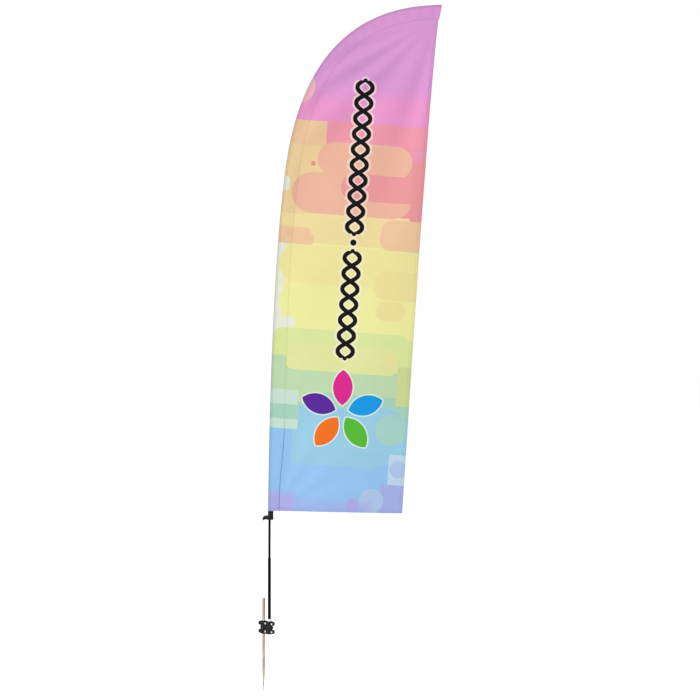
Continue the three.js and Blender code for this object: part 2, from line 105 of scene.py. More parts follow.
world = bpy.data.worlds.new("softStudio")
world.use_nodes = True
world.node_tree.nodes["Background"].inputs["Color"].default_value = (1, 1, 1, 1)
world.node_tree.nodes["Background"].inputs["Strength"].default_value = studio["sky"]
bpy.context.scene.world = world

for lamp in studio["lamps"]:
    light = bpy.data.objects.new(lamp["name"], bpy.data.lights.new(lamp["name"], "AREA"))
    light.data.size = lamp["size"]
    light.data.energy = lamp["watts"]
    light.location = lamp["place"]
    away = np.array(lamp["place"]) - np.array(lamp["aim"])
    tilt = math.acos(away[2] / np.linalg.norm(away))
    light.rotation_euler = (tilt, 0, math.atan2(away[0], -away[1]))
    bpy.context.collection.objects.link(light)


# a curved dark screen from the camera's right round behind, seen only in reflections, gives the
# metal its dark flank and keeps the black parts black
darkScreen = dict(radius=3.6, start=50, end=205, low=-0.6, high=3.4, tone=0.004)


def makeDarkScreen():
    turn = np.radians(np.linspace(darkScreen["start"], darkScreen["end"], 40))
    x, y = darkScreen["radius"] * np.sin(turn), -darkScreen["radius"] * np.cos(turn)
    rings = [np.stack([x, y, np.full(len(turn), darkScreen[end])], -1) for end in ("low", "high")]
    mesh = bpy.data.meshes.new("darkScreen")
    cells = [(i, i + 1, len(turn) + i + 1, len(turn) + i) for i in range(len(turn) - 1)]
    mesh.from_pydata(np.vstack(rings).tolist(), [], cells)
    made = bpy.data.materials.new("screenBlack")
    made.use_nodes = True
    shader = made.node_tree.nodes["Principled BSDF"]
    shader.inputs["Base Color"].default_value = (darkScreen["tone"],) * 3 + (1,)
    shader.inputs["Roughness"].default_value = 1
    shader.inputs["Specular IOR Level"].default_value = 0
    mesh.materials.append(made)
    screen = bpy.data.objects.new("darkScreen", mesh)
    bpy.context.collection.objects.link(screen)
    screen.visible_camera = False
    screen.visible_diffuse = False
    screen.visible_shadow = False


makeDarkScreen()


# shader expressions


class Wire:
    # one socket of a material, with arithmetic that adds Math nodes

    def __init__(self, tree, socket):
        self.tree = tree
        self.socket = socket

    def node(self, kind, settings, inputs, output=0):
        # a node of any type: its settings first, then the values or links of its sockets
        made = self.tree.nodes.new(kind)
        for name, value in settings.items():
            if name == "stops":
                ramp = made.color_ramp
                while len(ramp.elements) < len(value):
                    ramp.elements.new(1)
                for element, (place, colour) in zip(ramp.elements, value):
                    element.position = place
                    element.color = colour
            elif name == "interpolation":
                made.color_ramp.interpolation = value
            else:
                setattr(made, name, value)
        for name, value in inputs.items():
            if isinstance(value, Wire):
                self.tree.links.new(value.socket, made.inputs[name])
            else:
                made.inputs[name].default_value = value
        return Wire(self.tree, made.outputs[output])

    def math(self, operation, other=0.0, clamp=False):
        return self.node("ShaderNodeMath", dict(operation=operation, use_clamp=clamp), {0: self, 1: other})

    def __add__(self, other):
        return self.math("ADD", other)

    __radd__ = __add__

    def __mul__(self, other):
        return self.math("MULTIPLY", other)

    __rmul__ = __mul__

    def __sub__(self, other):
        return self.math("SUBTRACT", other)

    def __rsub__(self, other):
        return self.math("MULTIPLY", -1.0) + other

    def __truediv__(self, other):
        return self.math("DIVIDE", other)

    def __neg__(self):
        return self.math("MULTIPLY", -1.0)

    def clamped(self, gain, start):
        # gain * value + start, held between 0 and 1
        inputs = {0: self, 1: gain, 2: start}
        return self.node("ShaderNodeMath", dict(operation="MULTIPLY_ADD", use_clamp=True), inputs)

    def vector(self, operation, other=(0, 0, 0), output=0):
        inputs = {0: self} if other is None else {0: self, 1: other}
        return self.node("ShaderNodeVectorMath", dict(operation=operation), inputs, output)

    def split(self):
        made = self.node("ShaderNodeSeparateXYZ", {}, {0: self})
        outputs = made.socket.node.outputs
        return [Wire(self.tree, outputs[i]) for i in range(3)]

    def combine(self, x, y, z=0.0):
        return self.node("ShaderNodeCombineXYZ", {}, {0: x, 1: y, 2: z})

    def painted(self, colour, share):
        # this colour under another one
        inputs = {0: share, 6: self, 7: colour}
        return self.node("ShaderNodeMix", dict(data_type="RGBA", clamp_factor=True), inputs, 2)

    def noise(self, scale, detail=2.0, roughness=0.5):
        inputs = {"Vector": self, "Scale": scale, "Detail": detail, "Roughness": roughness}
        return self.node("ShaderNodeTexNoise", {}, inputs)

    def ramp(self, stops, interpolation="LINEAR"):
        return self.node("ShaderNodeValToRGB", dict(interpolation=interpolation, stops=stops), {0: self})

    def bump(self, distance, strength=1.0, under=None):
        inputs = {"Height": self, "Distance": distance, "Strength": strength}
        if under is not None:
            inputs["Normal"] = under
        return self.node("ShaderNodeBump", {}, inputs)


def newMaterial(name, **fixed):
    # a Principled material, its uniform values set on the shader's own sockets
    made = bpy.data.materials.new(name)
    made.use_nodes = True
    shader = made.node_tree.nodes["Principled BSDF"]
    for socket, value in fixed.items():
        shader.inputs[socket.replace("_", " ")].default_value = value
    place = made.node_tree.nodes.new("ShaderNodeTexCoord")
    return made, shader, Wire(made.node_tree, place.outputs["Object"])


def feed(shader, **varying):
    for socket, wire in varying.items():
        shader.id_data.links.new(wire.socket, shader.inputs[socket.replace("_", " ")])


# finishes of the hard parts

steel = dict(zinc=rgb(172, 163, 150), dull=rgb(136, 129, 118), pointTone=rgb(80, 77, 70), tipHeight=0.05)


def zincSteel():
    # zinc plate: fine lengthwise drawing marks, cloudy spangle, duller and darker at the point
    made, shader, place = newMaterial("zincSteel", Metallic=1.0)
    x, y, z = place.split()
    cloud = place.noise(90, 3)
    streak = place.combine(x, y, z * 0.02).noise(900, 2)
    base = cloud.ramp([(0.3, steel["dull"]), (0.62, steel["zinc"])])
    tip = (z - float(stakeLow[2])).clamped(-1 / steel["tipHeight"], 1.0)
    marks = (streak - 0.58).clamped(9.0, 0.0)
    # the last few centimetres are blended towards a darker grey, darkest at the point
    base = base.painted(steel["dull"], marks * 0.5).painted(steel["pointTone"], tip * 0.75)
    feed(shader, Base_Color=base, Roughness=0.13 + cloud * 0.14 + tip * 0.2)
    feed(shader, Normal=streak.bump(0.00008, 0.5))
    return made


def brightSteel():
    made, shader, place = newMaterial("brightSteel", Metallic=1.0)
    grain = place.noise(700, 3)
    feed(shader, Base_Color=grain.ramp([(0.3, rgb(196, 196, 194)), (0.7, rgb(226, 226, 224))]))
    feed(shader, Roughness=0.16 + grain * 0.16, Normal=grain.bump(0.00004, 0.4))
    return made


def blackSteel():
    # oil-blacked steel, browner and brighter where it has been handled
    made, shader, place = newMaterial("blackSteel", Metallic=0.9)
    worn = place.noise(420, 4)
    feed(shader, Base_Color=worn.ramp([(0.4, rgb(26, 25, 26)), (0.75, rgb(66, 62, 60))]))
    feed(shader, Roughness=0.34 + worn * 0.2, Normal=worn.bump(0.00004, 0.4))
    return made


def blackMoulding():
    # moulded nylon: a fine spark-eroded grain and slightly paler rubbed patches
    made, shader, place = newMaterial("blackMoulding", Specular_IOR_Level=0.22)
    grain = place.noise(2600, 2)
    rubbed = place.noise(60, 4)
    tone = (rubbed - 0.5).clamped(3.0, 0.1)
    base = tone.ramp([(0, rgb(9, 9, 10)), (1, rgb(21, 20, 23))])
    feed(shader, Base_Color=base, Roughness=0.4 + rubbed * 0.16, Normal=grain.bump(0.00006, 0.55))
    return made


def blackPole():
    # lacquered glass fibre: faint lengthwise fibre and a few scuffs under a clear coat
    made, shader, place = newMaterial("blackPole", Coat_Roughness=0.12, Specular_IOR_Level=0.06)
    x, y, z = place.split()
    fibre = place.combine(x, y, z * 0.015).noise(1500, 2)
    scuff = (place.combine(x, y, z * 0.3).noise(140, 5) - 0.62).clamped(7.0, 0.0)
    base = fibre.ramp([(0.35, rgb(2, 2, 2)), (0.7, rgb(8, 8, 9))])
    base = base.painted(rgb(34, 33, 32), scuff * 0.4)
    feed(shader, Base_Color=base, Roughness=0.3 + scuff * 0.25, Normal=fibre.bump(0.00005, 0.4))
    shader.inputs["Coat Weight"].default_value = 0.03
    return made


def whiteNylon():
    made, shader, place = newMaterial("whiteNylon", Subsurface_Weight=0.1)
    stain = place.noise(120, 4)
    feed(shader, Base_Color=stain.ramp([(0.3, rgb(214, 214, 216)), (0.7, rgb(236, 236, 240))]))
    feed(shader, Roughness=0.34 + stain * 0.15, Normal=place.noise(1800).bump(0.00004, 0.4))
    return made


def blackRubber():
    made, shader, place = newMaterial("blackRubber")
    grain = place.noise(1200, 3)
    feed(shader, Base_Color=grain.ramp([(0.3, rgb(18, 18, 19)), (0.7, rgb(38, 38, 40))]))
    feed(shader, Roughness=0.66 + grain * 0.2, Normal=grain.bump(0.0001, 0.5))
    return made


def sewingThread():
    # twisted polyester thread, sewn before printing so that it took up most of the dye
    made, shader, place = newMaterial("sewingThread")
    shader.inputs["Sheen Weight"].default_value = 0.05
    shader.inputs["Specular IOR Level"].default_value = 0.1
    twist = place.vector("SCALE", None)
    twist.socket.node.inputs["Scale"].default_value = 5200
    wave = twist.vector("SINE", None).split()
    band = (wave[0] + wave[2]) * 0.25 + 0.5
    colour = printColour(place).painted(rgb(206, 202, 212), band * 0.12 + 0.08)
    dyed = colour.vector("SCALE", None)
    dyed.socket.node.inputs["Scale"].default_value = cloth["dyeStrength"]
    feed(shader, Base_Color=dyed, Roughness=0.6 + band * 0.2)
    return made


# the print: bands of pastel with rounded blocks and discs over them

# The artwork's own axes lean with the trailing edge: a runs across the flag and b up it.
printLean = math.radians(4.3)
printLow, printHigh = 0.5, 2.7

tints = dict(
    orchid=(216, 152, 209),
    pink=(232, 151, 202),
    blush=(236, 180, 187),
    salmon=(235, 152, 170),
    rose=(232, 152, 155),
    brick=(222, 149, 139),
    peach=(234, 180, 156),
    apricot=(235, 195, 156),
    sand=(235, 206, 154),
    butter=(236, 217, 156),
    straw=(234, 221, 153),
    lemon=(235, 227, 155),
    citron=(235, 233, 157),
    cream=(229, 231, 212),
    pear=(221, 227, 157),
    lime=(215, 228, 154),
    moss=(203, 216, 146),
    sage=(187, 215, 172),
    mint=(164, 208, 186),
    foam=(197, 221, 205),
    teal=(163, 206, 196),
    lagoon=(156, 203, 214),
    aqua=(150, 200, 223),
    sky=(146, 193, 235),
    ice=(187, 214, 231),
    mist=(173, 196, 232),
    lavender=(164, 175, 228),
    violet=(178, 164, 224),
)

# b of each band's lower edge, from the foot up
printBands = [
    (0.500, "sky"),
    (0.865, "lagoon"),
    (0.925, "mint"),
    (1.000, "sage"),
    (1.110, "lime"),
    (1.245, "citron"),
    (1.610, "butter"),
    (1.740, "rose"),
    (2.120, "orchid"),
]

# rounded blocks and discs: centre a, centre b, half width, half height, corner radius
printBlocks = [
    (-0.040, 2.260, 0.085, 0.080, 0.080, "blush"),
    (0.350, 2.080, 0.245, 0.045, 0.005, "salmon"),
    (-0.010, 2.010, 0.115, 0.110, 0.005, "sand"),
    (-0.020, 2.070, 0.125, 0.050, 0.005, "apricot"),
    (0.270, 1.970, 0.195, 0.070, 0.070, "peach"),
    (0.060, 1.945, 0.010, 0.010, 0.010, "brick"),
    (-0.020, 1.820, 0.060, 0.085, 0.005, "sand"),
    (0.230, 1.825, 0.250, 0.085, 0.085, "peach"),
    (0.400, 1.860, 0.220, 0.055, 0.055, "rose"),
    (0.525, 1.830, 0.055, 0.100, 0.015, "rose"),
    (-0.045, 1.855, 0.015, 0.030, 0.015, "cream"),
    (-0.015, 1.645, 0.100, 0.035, 0.015, "apricot"),
    (0.485, 1.670, 0.130, 0.065, 0.050, "apricot"),
    (0.210, 1.690, 0.150, 0.050, 0.050, "butter"),
    (-0.055, 1.420, 0.030, 0.190, 0.005, "cream"),
    (0.285, 1.530, 0.335, 0.080, 0.080, "lemon"),
    (0.235, 1.375, 0.275, 0.060, 0.060, "citron"),
    (-0.005, 1.280, 0.040, 0.030, 0.010, "cream"),
    (0.455, 1.465, 0.115, 0.060, 0.060, "straw"),
    (0.420, 1.360, 0.060, 0.040, 0.035, "straw"),
    (0.230, 1.195, 0.280, 0.070, 0.040, "lime"),
    (0.235, 1.150, 0.235, 0.055, 0.040, "pear"),
    (0.440, 1.160, 0.025, 0.025, 0.025, "straw"),
    (0.505, 1.055, 0.035, 0.080, 0.005, "moss"),
    (-0.025, 1.080, 0.035, 0.070, 0.010, "sage"),
    (0.265, 0.970, 0.195, 0.030, 0.010, "mint"),
    (0.100, 1.015, 0.060, 0.060, 0.060, "sage"),
    (0.230, 0.830, 0.175, 0.120, 0.010, "aqua"),
    (0.415, 0.845, 0.120, 0.120, 0.120, "aqua"),
    (0.010, 0.980, 0.060, 0.030, 0.005, "foam"),
    (0.015, 0.920, 0.060, 0.030, 0.005, "mint"),
    (0.015, 0.870, 0.060, 0.020, 0.005, "foam"),
    (0.460, 0.875, 0.065, 0.065, 0.065, "teal"),
    (0.520, 0.705, 0.060, 0.070, 0.010, "ice"),
    (0.500, 0.715, 0.035, 0.035, 0.035, "mist"),
    (0.495, 0.590, 0.060, 0.060, 0.005, "lavender"),
    (0.400, 0.580, 0.050, 0.050, 0.050, "mist"),
    (0.325, 0.550, 0.030, 0.030, 0.030, "violet"),
]

# blurred patches: centre a, centre b, half width, half height
printBlurs = [
    (0.490, 2.010, 0.015, 0.015, "pink"),
    (0.160, 0.515, 0.230, 0.045, "lavender"),
    (0.010, 0.530, 0.065, 0.050, "violet"),
]
printEdge = dict(crisp=0.002, blurred=0.050, ink=0.0015)

# black braids with a pale edge up the middle of the flag, each of two crossing waves
ribbon = dict(
    a=0.248,
    runs=[(1.984, 0.317), (1.376, 0.221)],  # middle b and half length of each
    swing=0.031,
    wavelength=0.128,
    half=0.0090,
    edge=0.0075,
    ink=rgb(18, 16, 17),
    halo=rgb(250, 238, 222),
    haloShare=0.55,
    dotExtra=0.004,
    dots=[1.632],
)

# five leaves about a point, in plain colours
rosette = dict(
    a=0.253,
    b=0.934,
    inner=0.028,
    length=0.146,
    bulge=0.046,  # how far each leaf's two arcs are centred from its rib
    edge=0.005,
    colours=[(20, 150, 222), (216, 40, 140), (88, 40, 150), (238, 112, 32), (84, 180, 52)],
    halo=rgb(244, 250, 240),
    haloShare=0.6,
)


def tint(name):
    return rgb(*tints[name])


def roundedBlock(flat, centre, half, corner, soft):
    # distance of a box with round corners: how far past the inner box, less the corner's radius
    away = flat.vector("SUBTRACT", (centre[0], centre[1], 0)).vector("ABSOLUTE", None)
    past = away.vector("SUBTRACT", (half[0] - corner, half[1] - corner, 0)).vector("MAXIMUM")
    return past.vector("LENGTH", None, 1).clamped(-1 / soft, corner / soft + 0.5)


def printColour(place):
    x, y, z = place.split()
    lean = (math.cos(printLean), math.sin(printLean))
    a = x * lean[0] - z * lean[1]
    b = x * lean[1] + z * lean[0]
    flat = place.combine(a, b)
    height = (b - printLow) / (printHigh - printLow)
    stops = [((low - printLow) / (printHigh - printLow), tint(name)) for low, name in printBands]
    colour = height.ramp(stops, "CONSTANT")
    # the top band turns from orchid by the pole to pink towards the trailing edge and down
    pink = (b * -11.0 + a * 0.9).clamped(1.0, 24.95)
    topBand = (b - printBands[-1][0]).clamped(500.0, 0.5)
    colour = colour.painted(tint("pink"), topBand * pink)
    for centreA, centreB, halfA, halfB, corner, name in printBlocks:
        mask = roundedBlock(flat, (centreA, centreB), (halfA, halfB), corner, printEdge["crisp"])
        colour = colour.painted(tint(name), mask)
    for centreA, centreB, halfA, halfB, name in printBlurs:
        mask = roundedBlock(flat, (centreA, centreB), (halfA, halfB), 0.005, printEdge["blurred"])
        colour = colour.painted(tint(name), mask)
    colour = wavePrint(colour, a, b)
    return rosettePrint(colour, flat)


def wavePrint(colour, a, b):
    # distance to a sine line and its mirror image, divided by the slope's length so that the
    # strokes keep their width; past the ends of a run both lie on the middle, as a round end
    reach = None
    for middle, halfLength in ribbon["runs"]:
        past = ((b - middle).math("ABSOLUTE") - halfLength).math("MAXIMUM", 0.0)
        reach = past if reach is None else reach.math("MINIMUM", past)
    inRun = reach.math("LESS_THAN", 1e-5)
    turn = b * (2 * math.pi / ribbon["wavelength"])
    steep = 2 * math.pi / ribbon["wavelength"] * ribbon["swing"]
    slope = turn.math("COSINE") * steep * inRun
    swing = turn.math("SINE").math("ABSOLUTE") * ribbon["swing"] * inRun
    line = ((a - ribbon["a"]).math("ABSOLUTE") - swing).math("ABSOLUTE")
    across = line / (slope * slope + 1.0).math("SQRT")
    distance = (across * across + reach * reach).math("SQRT")
    for dot in ribbon["dots"]:
        centred = a.combine(a - ribbon["a"], b - dot)
        distance = distance.math("MINIMUM", centred.vector("LENGTH", None, 1) - ribbon["dotExtra"])
    sharp = 1 / printEdge["ink"]
    halo = distance.clamped(-sharp, (ribbon["half"] + ribbon["edge"]) * sharp + 0.5)
    ink = distance.clamped(-sharp, ribbon["half"] * sharp + 0.5)
    return colour.painted(ribbon["halo"], halo * ribbon["haloShare"]).painted(ribbon["ink"], ink)


def rosettePrint(colour, flat):
    # a leaf is where two discs overlap; five of them stand round the middle
    middle = flat.vector("SUBTRACT", (rosette["a"], rosette["b"], 0))
    halfLeaf = rosette["length"] / 2
    radius = math.hypot(halfLeaf, rosette["bulge"])
    sharp = 1 / printEdge["ink"]
    leaves = []
    for i, tone in enumerate(rosette["colours"]):
        turn = 2 * math.pi * i / len(rosette["colours"]) + 0.35
        rib = np.array([math.cos(turn), math.sin(turn)])
        side = np.array([-rib[1], rib[0]])
        far = None
        for way in (-1, 1):
            centre = rib * (rosette["inner"] + halfLeaf) + side * way * rosette["bulge"]
            away = middle.vector("SUBTRACT", (centre[0], centre[1], 0)).vector("LENGTH", None, 1)
            far = away if far is None else far.math("MAXIMUM", away)
        leaves.append((far - radius, tone))
    nearest = leaves[0][0]
    for distance, tone in leaves[1:]:
        nearest = nearest.math("MINIMUM", distance)
    halo = nearest.clamped(-sharp, rosette["edge"] * sharp + 0.5)
    colour = colour.painted(rosette["halo"], halo * rosette["haloShare"])
    for distance, tone in leaves:
        colour = colour.painted(rgb(*tone), distance.clamped(-sharp, 0.5))
    return colour


cloth = dict(
    thickness=0.0005,
    hemWidth=0.016,
    hemLift=0.0004,
    knit=0.0016,  # one loop of the knit
    paleBack=0.22,
    shadow=rgb(78, 62, 92),
    seamShadow=rgb(58, 78, 120),
    dyeStrength=0.68,
)


def printedCloth(name, pale):
    # knitted polyester: dyed print, small loops, soft crumple, a denser double layer at the hems with a
    # little painted shade, a painted shadow line along the seam, painted shade round the curved leading
    # edge and over the pole, where the dark pole also faintly shows through the sleeve
    made, shader, place = newMaterial(name)
    shader.inputs["Sheen Weight"].default_value = 0.03
    shader.inputs["Sheen Roughness"].default_value = 0.5
    shader.inputs["Specular IOR Level"].default_value = 0.08
    edges = place.node("ShaderNodeUVMap", dict(uv_map="clothEdges"), {}).split()
    spread = place.node("ShaderNodeUVMap", dict(uv_map="clothSpread"), {}).split()
    colour = printColour(place)
    wash = place.noise(3.2, 4).ramp([(0.32, (0.94, 0.94, 0.95, 1)), (0.68, (1, 1, 1, 1))])
    colour = colour.vector("MULTIPLY", wash)
    if pale:
        colour = colour.painted((1, 1, 1, 1), pale)
    hem = edges[0].clamped(-1000.0, cloth["hemWidth"] * 1000 + 0.5)
    low = spread[1].clamped(-8.0, 3.2)
    line = (edges[1] + 0.0005).math("ABSOLUTE").clamped(-500.0, 1.1)
    # painted shade: the hems are drawn 5% towards the shadow colour where the cloth is doubled
    colour = colour.painted(cloth["shadow"], hem * 0.05)
    colour = colour.painted(cloth["seamShadow"], line * low * 0.75)
    # painted shade along the curved leading edge, where the cloth turns round the front of the mast
    rim = spread[0].clamped(-300.0, -0.5)
    colour = colour.painted(cloth["shadow"], rim * 0.6)
    # painted shade over the mast, partly the dark pole showing through the thin sleeve
    pole = spread[0].math("ABSOLUTE").clamped(-450.0, 2.4)
    colour = colour.painted(cloth["shadow"], pole * 0.16)
    colour = colour.vector("SCALE", None)
    colour.socket.node.inputs["Scale"].default_value = cloth["dyeStrength"]
    x, y, z = place.split()
    loops = place.combine(x * (2 * math.pi / cloth["knit"]), z * (1.6 * math.pi / cloth["knit"]))
    wales = loops.vector("SINE", None).split()
    knit = wales[0] * wales[1]
    soft = place.combine(x, y, z * 2.2).noise(14, 3)
    feed(shader, Base_Color=colour, Roughness=0.82 + knit * 0.06)
    feed(shader, Normal=knit.bump(0.00012, 0.3, soft.bump(0.0016, 0.4)))
    return made


finish = dict(
    zincSteel=zincSteel(),
    brightSteel=brightSteel(),
    blackSteel=blackSteel(),
    blackMoulding=blackMoulding(),
    blackPole=blackPole(),
    whiteNylon=whiteNylon(),
    blackRubber=blackRubber(),
    sewingThread=sewingThread(),
    clothFront=printedCloth("printedFront", 0.0),
    clothBack=printedCloth("printedBack", cloth["paleBack"]),
)
print("materials made")


# mesh helpers


def gridFaces(rows, columns, wrapRows=False, wrapColumns=False):
    # four-cornered faces between neighbouring points of a grid
    index = np.arange(rows * columns).reshape(rows, columns)
    if wrapRows:
        index = np.vstack([index, index[:1]])
    if wrapColumns:
        index = np.hstack([index, index[:, :1]])
    corners = [index[:-1, :-1], index[:-1, 1:], index[1:, 1:], index[1:, :-1]]
    return np.stack(corners, -1).reshape(-1, 4)


def piece(name, parts, finishNames, body, stands=(), sharp=35, maps=None, sides=None):
    # parts are (points, lists of faces) pairs; doubles are merged and faces turned outwards
    starts = np.cumsum([0] + [len(part[0]) for part in parts[:-1]])
    faces = []
    for start, part in zip(starts, parts):
        for group in part[1]:
            faces.extend((group + start).tolist())
    mesh = bpy.data.meshes.new(name)
    mesh.from_pydata(np.vstack([part[0] for part in parts]).tolist(), [], faces)
    if maps is not None:
        corners = np.empty(len(mesh.loops), dtype=np.int32)
        mesh.loops.foreach_get("vertex_index", corners)
        for label, values in maps.items():
            layer = mesh.uv_layers.new(name=label)
            layer.data.foreach_set("uv", values[corners].astype(np.float32).ravel())
    names = finishNames if isinstance(finishNames, list) else [finishNames]
    for each in names:
        mesh.materials.append(finish[each])
    if sides is not None:
        mesh.polygons.foreach_set("material_index", sides.astype(np.int32))
    form = bmesh.new()
    form.from_mesh(mesh)
    bmesh.ops.remove_doubles(form, verts=form.verts, dist=1e-6)
    bmesh.ops.recalc_face_normals(form, faces=form.faces)
    form.to_mesh(mesh)
    form.free()
    mesh.shade_smooth()
    mesh.set_sharp_from_angle(angle=math.radians(sharp))
    made = bpy.data.objects.new(name, mesh)
    bpy.context.collection.objects.link(made)
    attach(made, body)
    if stands:
        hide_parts(*stands)
    return made


def softened(points, radius, steps=4):
    # a 2D outline with each inner corner swapped for a short curve
    points = [np.array(point, dtype=float) for point in points]
    line = [points[0]]
    share = np.linspace(0, 1, steps + 1)[:, None]
    for before, corner, after in zip(points, points[1:], points[2:]):
        reach = min(radius, np.linalg.norm(before - corner) / 2.1, np.linalg.norm(after - corner) / 2.1)
        start = corner + (before - corner) / np.linalg.norm(before - corner) * reach
        end = corner + (after - corner) / np.linalg.norm(after - corner) * reach
        line.extend((1 - share) ** 2 * start + 2 * share * (1 - share) * corner + share**2 * end)
    line.append(points[-1])
    return np.array(line)


def turnedPart(profile, centre=(0, 0), sides=64, closed=False, hexagon=None):
    # a profile of (radius, height) points turned about an upright axis; the share in hexagon
    # draws a ring from round towards six flats
    angle = np.arange(sides) * 2 * math.pi / sides
    flats = math.cos(math.pi / 6) / np.cos((angle + math.pi / 6) % (math.pi / 3) - math.pi / 6)
    share = np.zeros(len(profile)) if hexagon is None else np.asarray(hexagon, dtype=float)
    radius = profile[:, :1] * (1 + share[:, None] * (flats[None] - 1))
    points = np.empty((len(profile), sides, 3))
    points[..., 0] = centre[0] + radius * np.cos(angle)
    points[..., 1] = centre[1] + radius * np.sin(angle)
    points[..., 2] = profile[:, 1:]
    return points.reshape(-1, 3), [gridFaces(len(profile), sides, wrapRows=closed, wrapColumns=True)]


def placed(part, origin, xWay, yWay, zWay):
    # a part's own axes laid along three directions from an origin
    points = part[0] @ np.array([xWay, yWay, zWay])
    return points + np.array(origin), part[1]


def carriedPart(path, acrossWay, upWay, profile):
    # a closed profile of (across, up) points carried along a path, closed by a fan at each end
    points = path[:, None] + profile[..., :1] * acrossWay[:, None] + profile[..., 1:] * upWay[:, None]
    rows, columns = points.shape[:2]
    around = np.arange(columns)
    following = np.roll(around, -1)
    last = (rows - 1) * columns
    count = rows * columns
    startFan = np.stack([np.full(columns, count), following, around], -1)
    endFan = np.stack([np.full(columns, count + 1), last + around, last + following], -1)
    ends = points[[0, -1]].mean(axis=1)
    side = gridFaces(rows, columns, wrapColumns=True)
    return np.vstack([points.reshape(-1, 3), ends]), [side, startFan, endFan]


def bezier(corners, share):
    share = share[:, None]
    rest = 1 - share
    start, pull, push, end = np.array(corners, dtype=float)
    return rest**3 * start + 3 * rest**2 * share * pull + 3 * rest * share**2 * push + share**3 * end


def runAlong(path):
    # distance from the first point to each point of a line
    return np.concatenate([[0], np.cumsum(np.linalg.norm(np.diff(path, axis=0), axis=1))])


def readAt(marks, runs, path):
    # points of a line at the marked distances along it
    return np.stack([np.interp(marks, runs, column) for column in path.T], -1)


def unit(rows):
    return rows / np.linalg.norm(rows, axis=-1, keepdims=True)


def squared(wave, power):
    # a sine or cosine flattened, so that a round section turns into a rounded oblong
    return np.sign(wave) * np.abs(wave) ** power


def smoothStep(value, low, high):
    share = np.clip((value - low) / (high - low), 0, 1)
    return share * share * (3 - 2 * share)


# the mast's line: upright inside the lower pole, then two cubic arcs, in X and Z

mast = dict(
    socket=0.060,
    kneeX=0.09,
    kneeZ=2.0148,
    kneeLean=0.205,
    reach=0.706,
    topZ=2.579,
    endDip=0.0,
    pulls=(0.578, 0.307, 0.42, 0.3),
    middleRadius=0.0049,
    middleShare=0.36,
    wall=0.0015,
)


def mastLine():
    bendStart = np.array([mastX, lowerPoleHigh[2]])
    knee = np.array([mastX + mast["kneeX"], mast["kneeZ"]])
    lean = np.array([math.sin(mast["kneeLean"]), math.cos(mast["kneeLean"])])
    top = np.array([mastX + mast["reach"], mast["topZ"]])
    dip = np.array([math.cos(mast["endDip"]), -math.sin(mast["endDip"])])
    first, second, third, fourth = mast["pulls"]
    share = np.linspace(0, 1, 1500)
    lower = bezier([bendStart, bendStart + [0, first], knee - lean * second, knee], share)
    upper = bezier([knee, knee + lean * third, top - dip * fourth, top], share[1:])
    foot = np.array([[mastX, lowerPoleHigh[2] - mast["socket"]]])
    return np.vstack([foot, lower, upper])


mastPoints = mastLine()
mastReachAt = runAlong(mastPoints)
mastLength = mastReachAt[-1]


def mastAt(reach):
    # place and direction of the mast at distances along it, as (x, z); straight on past its tip
    held = np.minimum(reach, mastLength)
    steps = (0, 0.002, -0.002)
    place, ahead, behind = (readAt(held + step, mastReachAt, mastPoints) for step in steps)
    way = unit(ahead - behind)
    return place + way * (reach - held)[:, None], way


def reachAtHeight(z):
    rising = slice(0, int(np.argmax(mastPoints[:, 1])))
    return float(np.interp(z, mastPoints[rising, 1], mastReachAt[rising]))


sleeveFoot = 0.5065  # height of the sleeve's lower hem
footReach = reachAtHeight(sleeveFoot)


# ground stake, spindle, bearing and lower pole

hardware = dict(
    stakeRadius=0.006,
    stakeTipRadius=0.0012,
    taper=0.086,
    spindleRadius=0.0035,
    washerRadius=0.009,
    poleRadius=0.0065,
    poleBore=0.0052,
    play=0.0003,
)


def groundStake():
    low, high = stakeLow[2], stakeHigh[2]
    radius = hardware["stakeRadius"]
    outline = softened(
        [
            (0, low),
            (hardware["stakeTipRadius"] * 0.7, low + 0.0006),
            (hardware["stakeTipRadius"], low + 0.006),
            (radius, low + hardware["taper"]),
            (radius, high - 0.0012),
            (radius - 0.0012, high),
            (0, high),
        ],
        0.0006,
    )
    piece("stake", [turnedPart(outline, sides=72)], "zincSteel", "bracket", ["ground_stake"], sharp=50)


def bearingAndPole():
    centre = (mastX, mastY)
    spindle = hardware["spindleRadius"]
    washerLow, washerHigh = span("thrust_washer")
    radius = hardware["washerRadius"]
    bore = spindle + hardware["play"]
    ring = softened(
        [
            (bore, washerLow[2] + 0.001),
            (bore, washerLow[2]),
            (radius, washerLow[2]),
            (radius, washerHigh[2]),
            (bore, washerHigh[2]),
            (bore, washerLow[2] + 0.001),
        ],
        0.0009,
    )[:-1]
    piece(
        "washer",
        [turnedPart(ring, centre, closed=True)],
        "whiteNylon",
        "bearing",
        ["thrust_washer"],
    )

    bushLow, bushHigh = span("pole_bush")
    flangeTop = lowerPoleLow[2] - hardware["play"]
    barrel = hardware["poleBore"] - hardware["play"]
    bush = softened(
        [
            (bore, bushLow[2] + 0.002),
            (bore, bushLow[2]),
            (hardware["poleRadius"] + 0.0003, bushLow[2]),
            (hardware["poleRadius"] + 0.0003, flangeTop),
            (barrel, flangeTop),
            (barrel, bushHigh[2]),
            (bore, bushHigh[2]),
            (bore, bushLow[2] + 0.002),
        ],
        0.0007,
    )[:-1]
    piece("bush", [turnedPart(bush, centre, closed=True)], "whiteNylon", "lower_mast", ["pole_bush"])

    low, high = lowerPoleLow[2], lowerPoleHigh[2]
    outer, inner = hardware["poleRadius"], hardware["poleBore"]
    tube = softened(
        [
            (inner, low + 0.01),
            (inner, low),
            (outer, low),
            (outer, high),
            (inner, high),
            (inner, low + 0.01),
        ],
        0.0005,
    )[:-1]
    piece("lowerPole", [turnedPart(tube, centre, closed=True)], "blackPole", "lower_mast", ["lower_pole"])


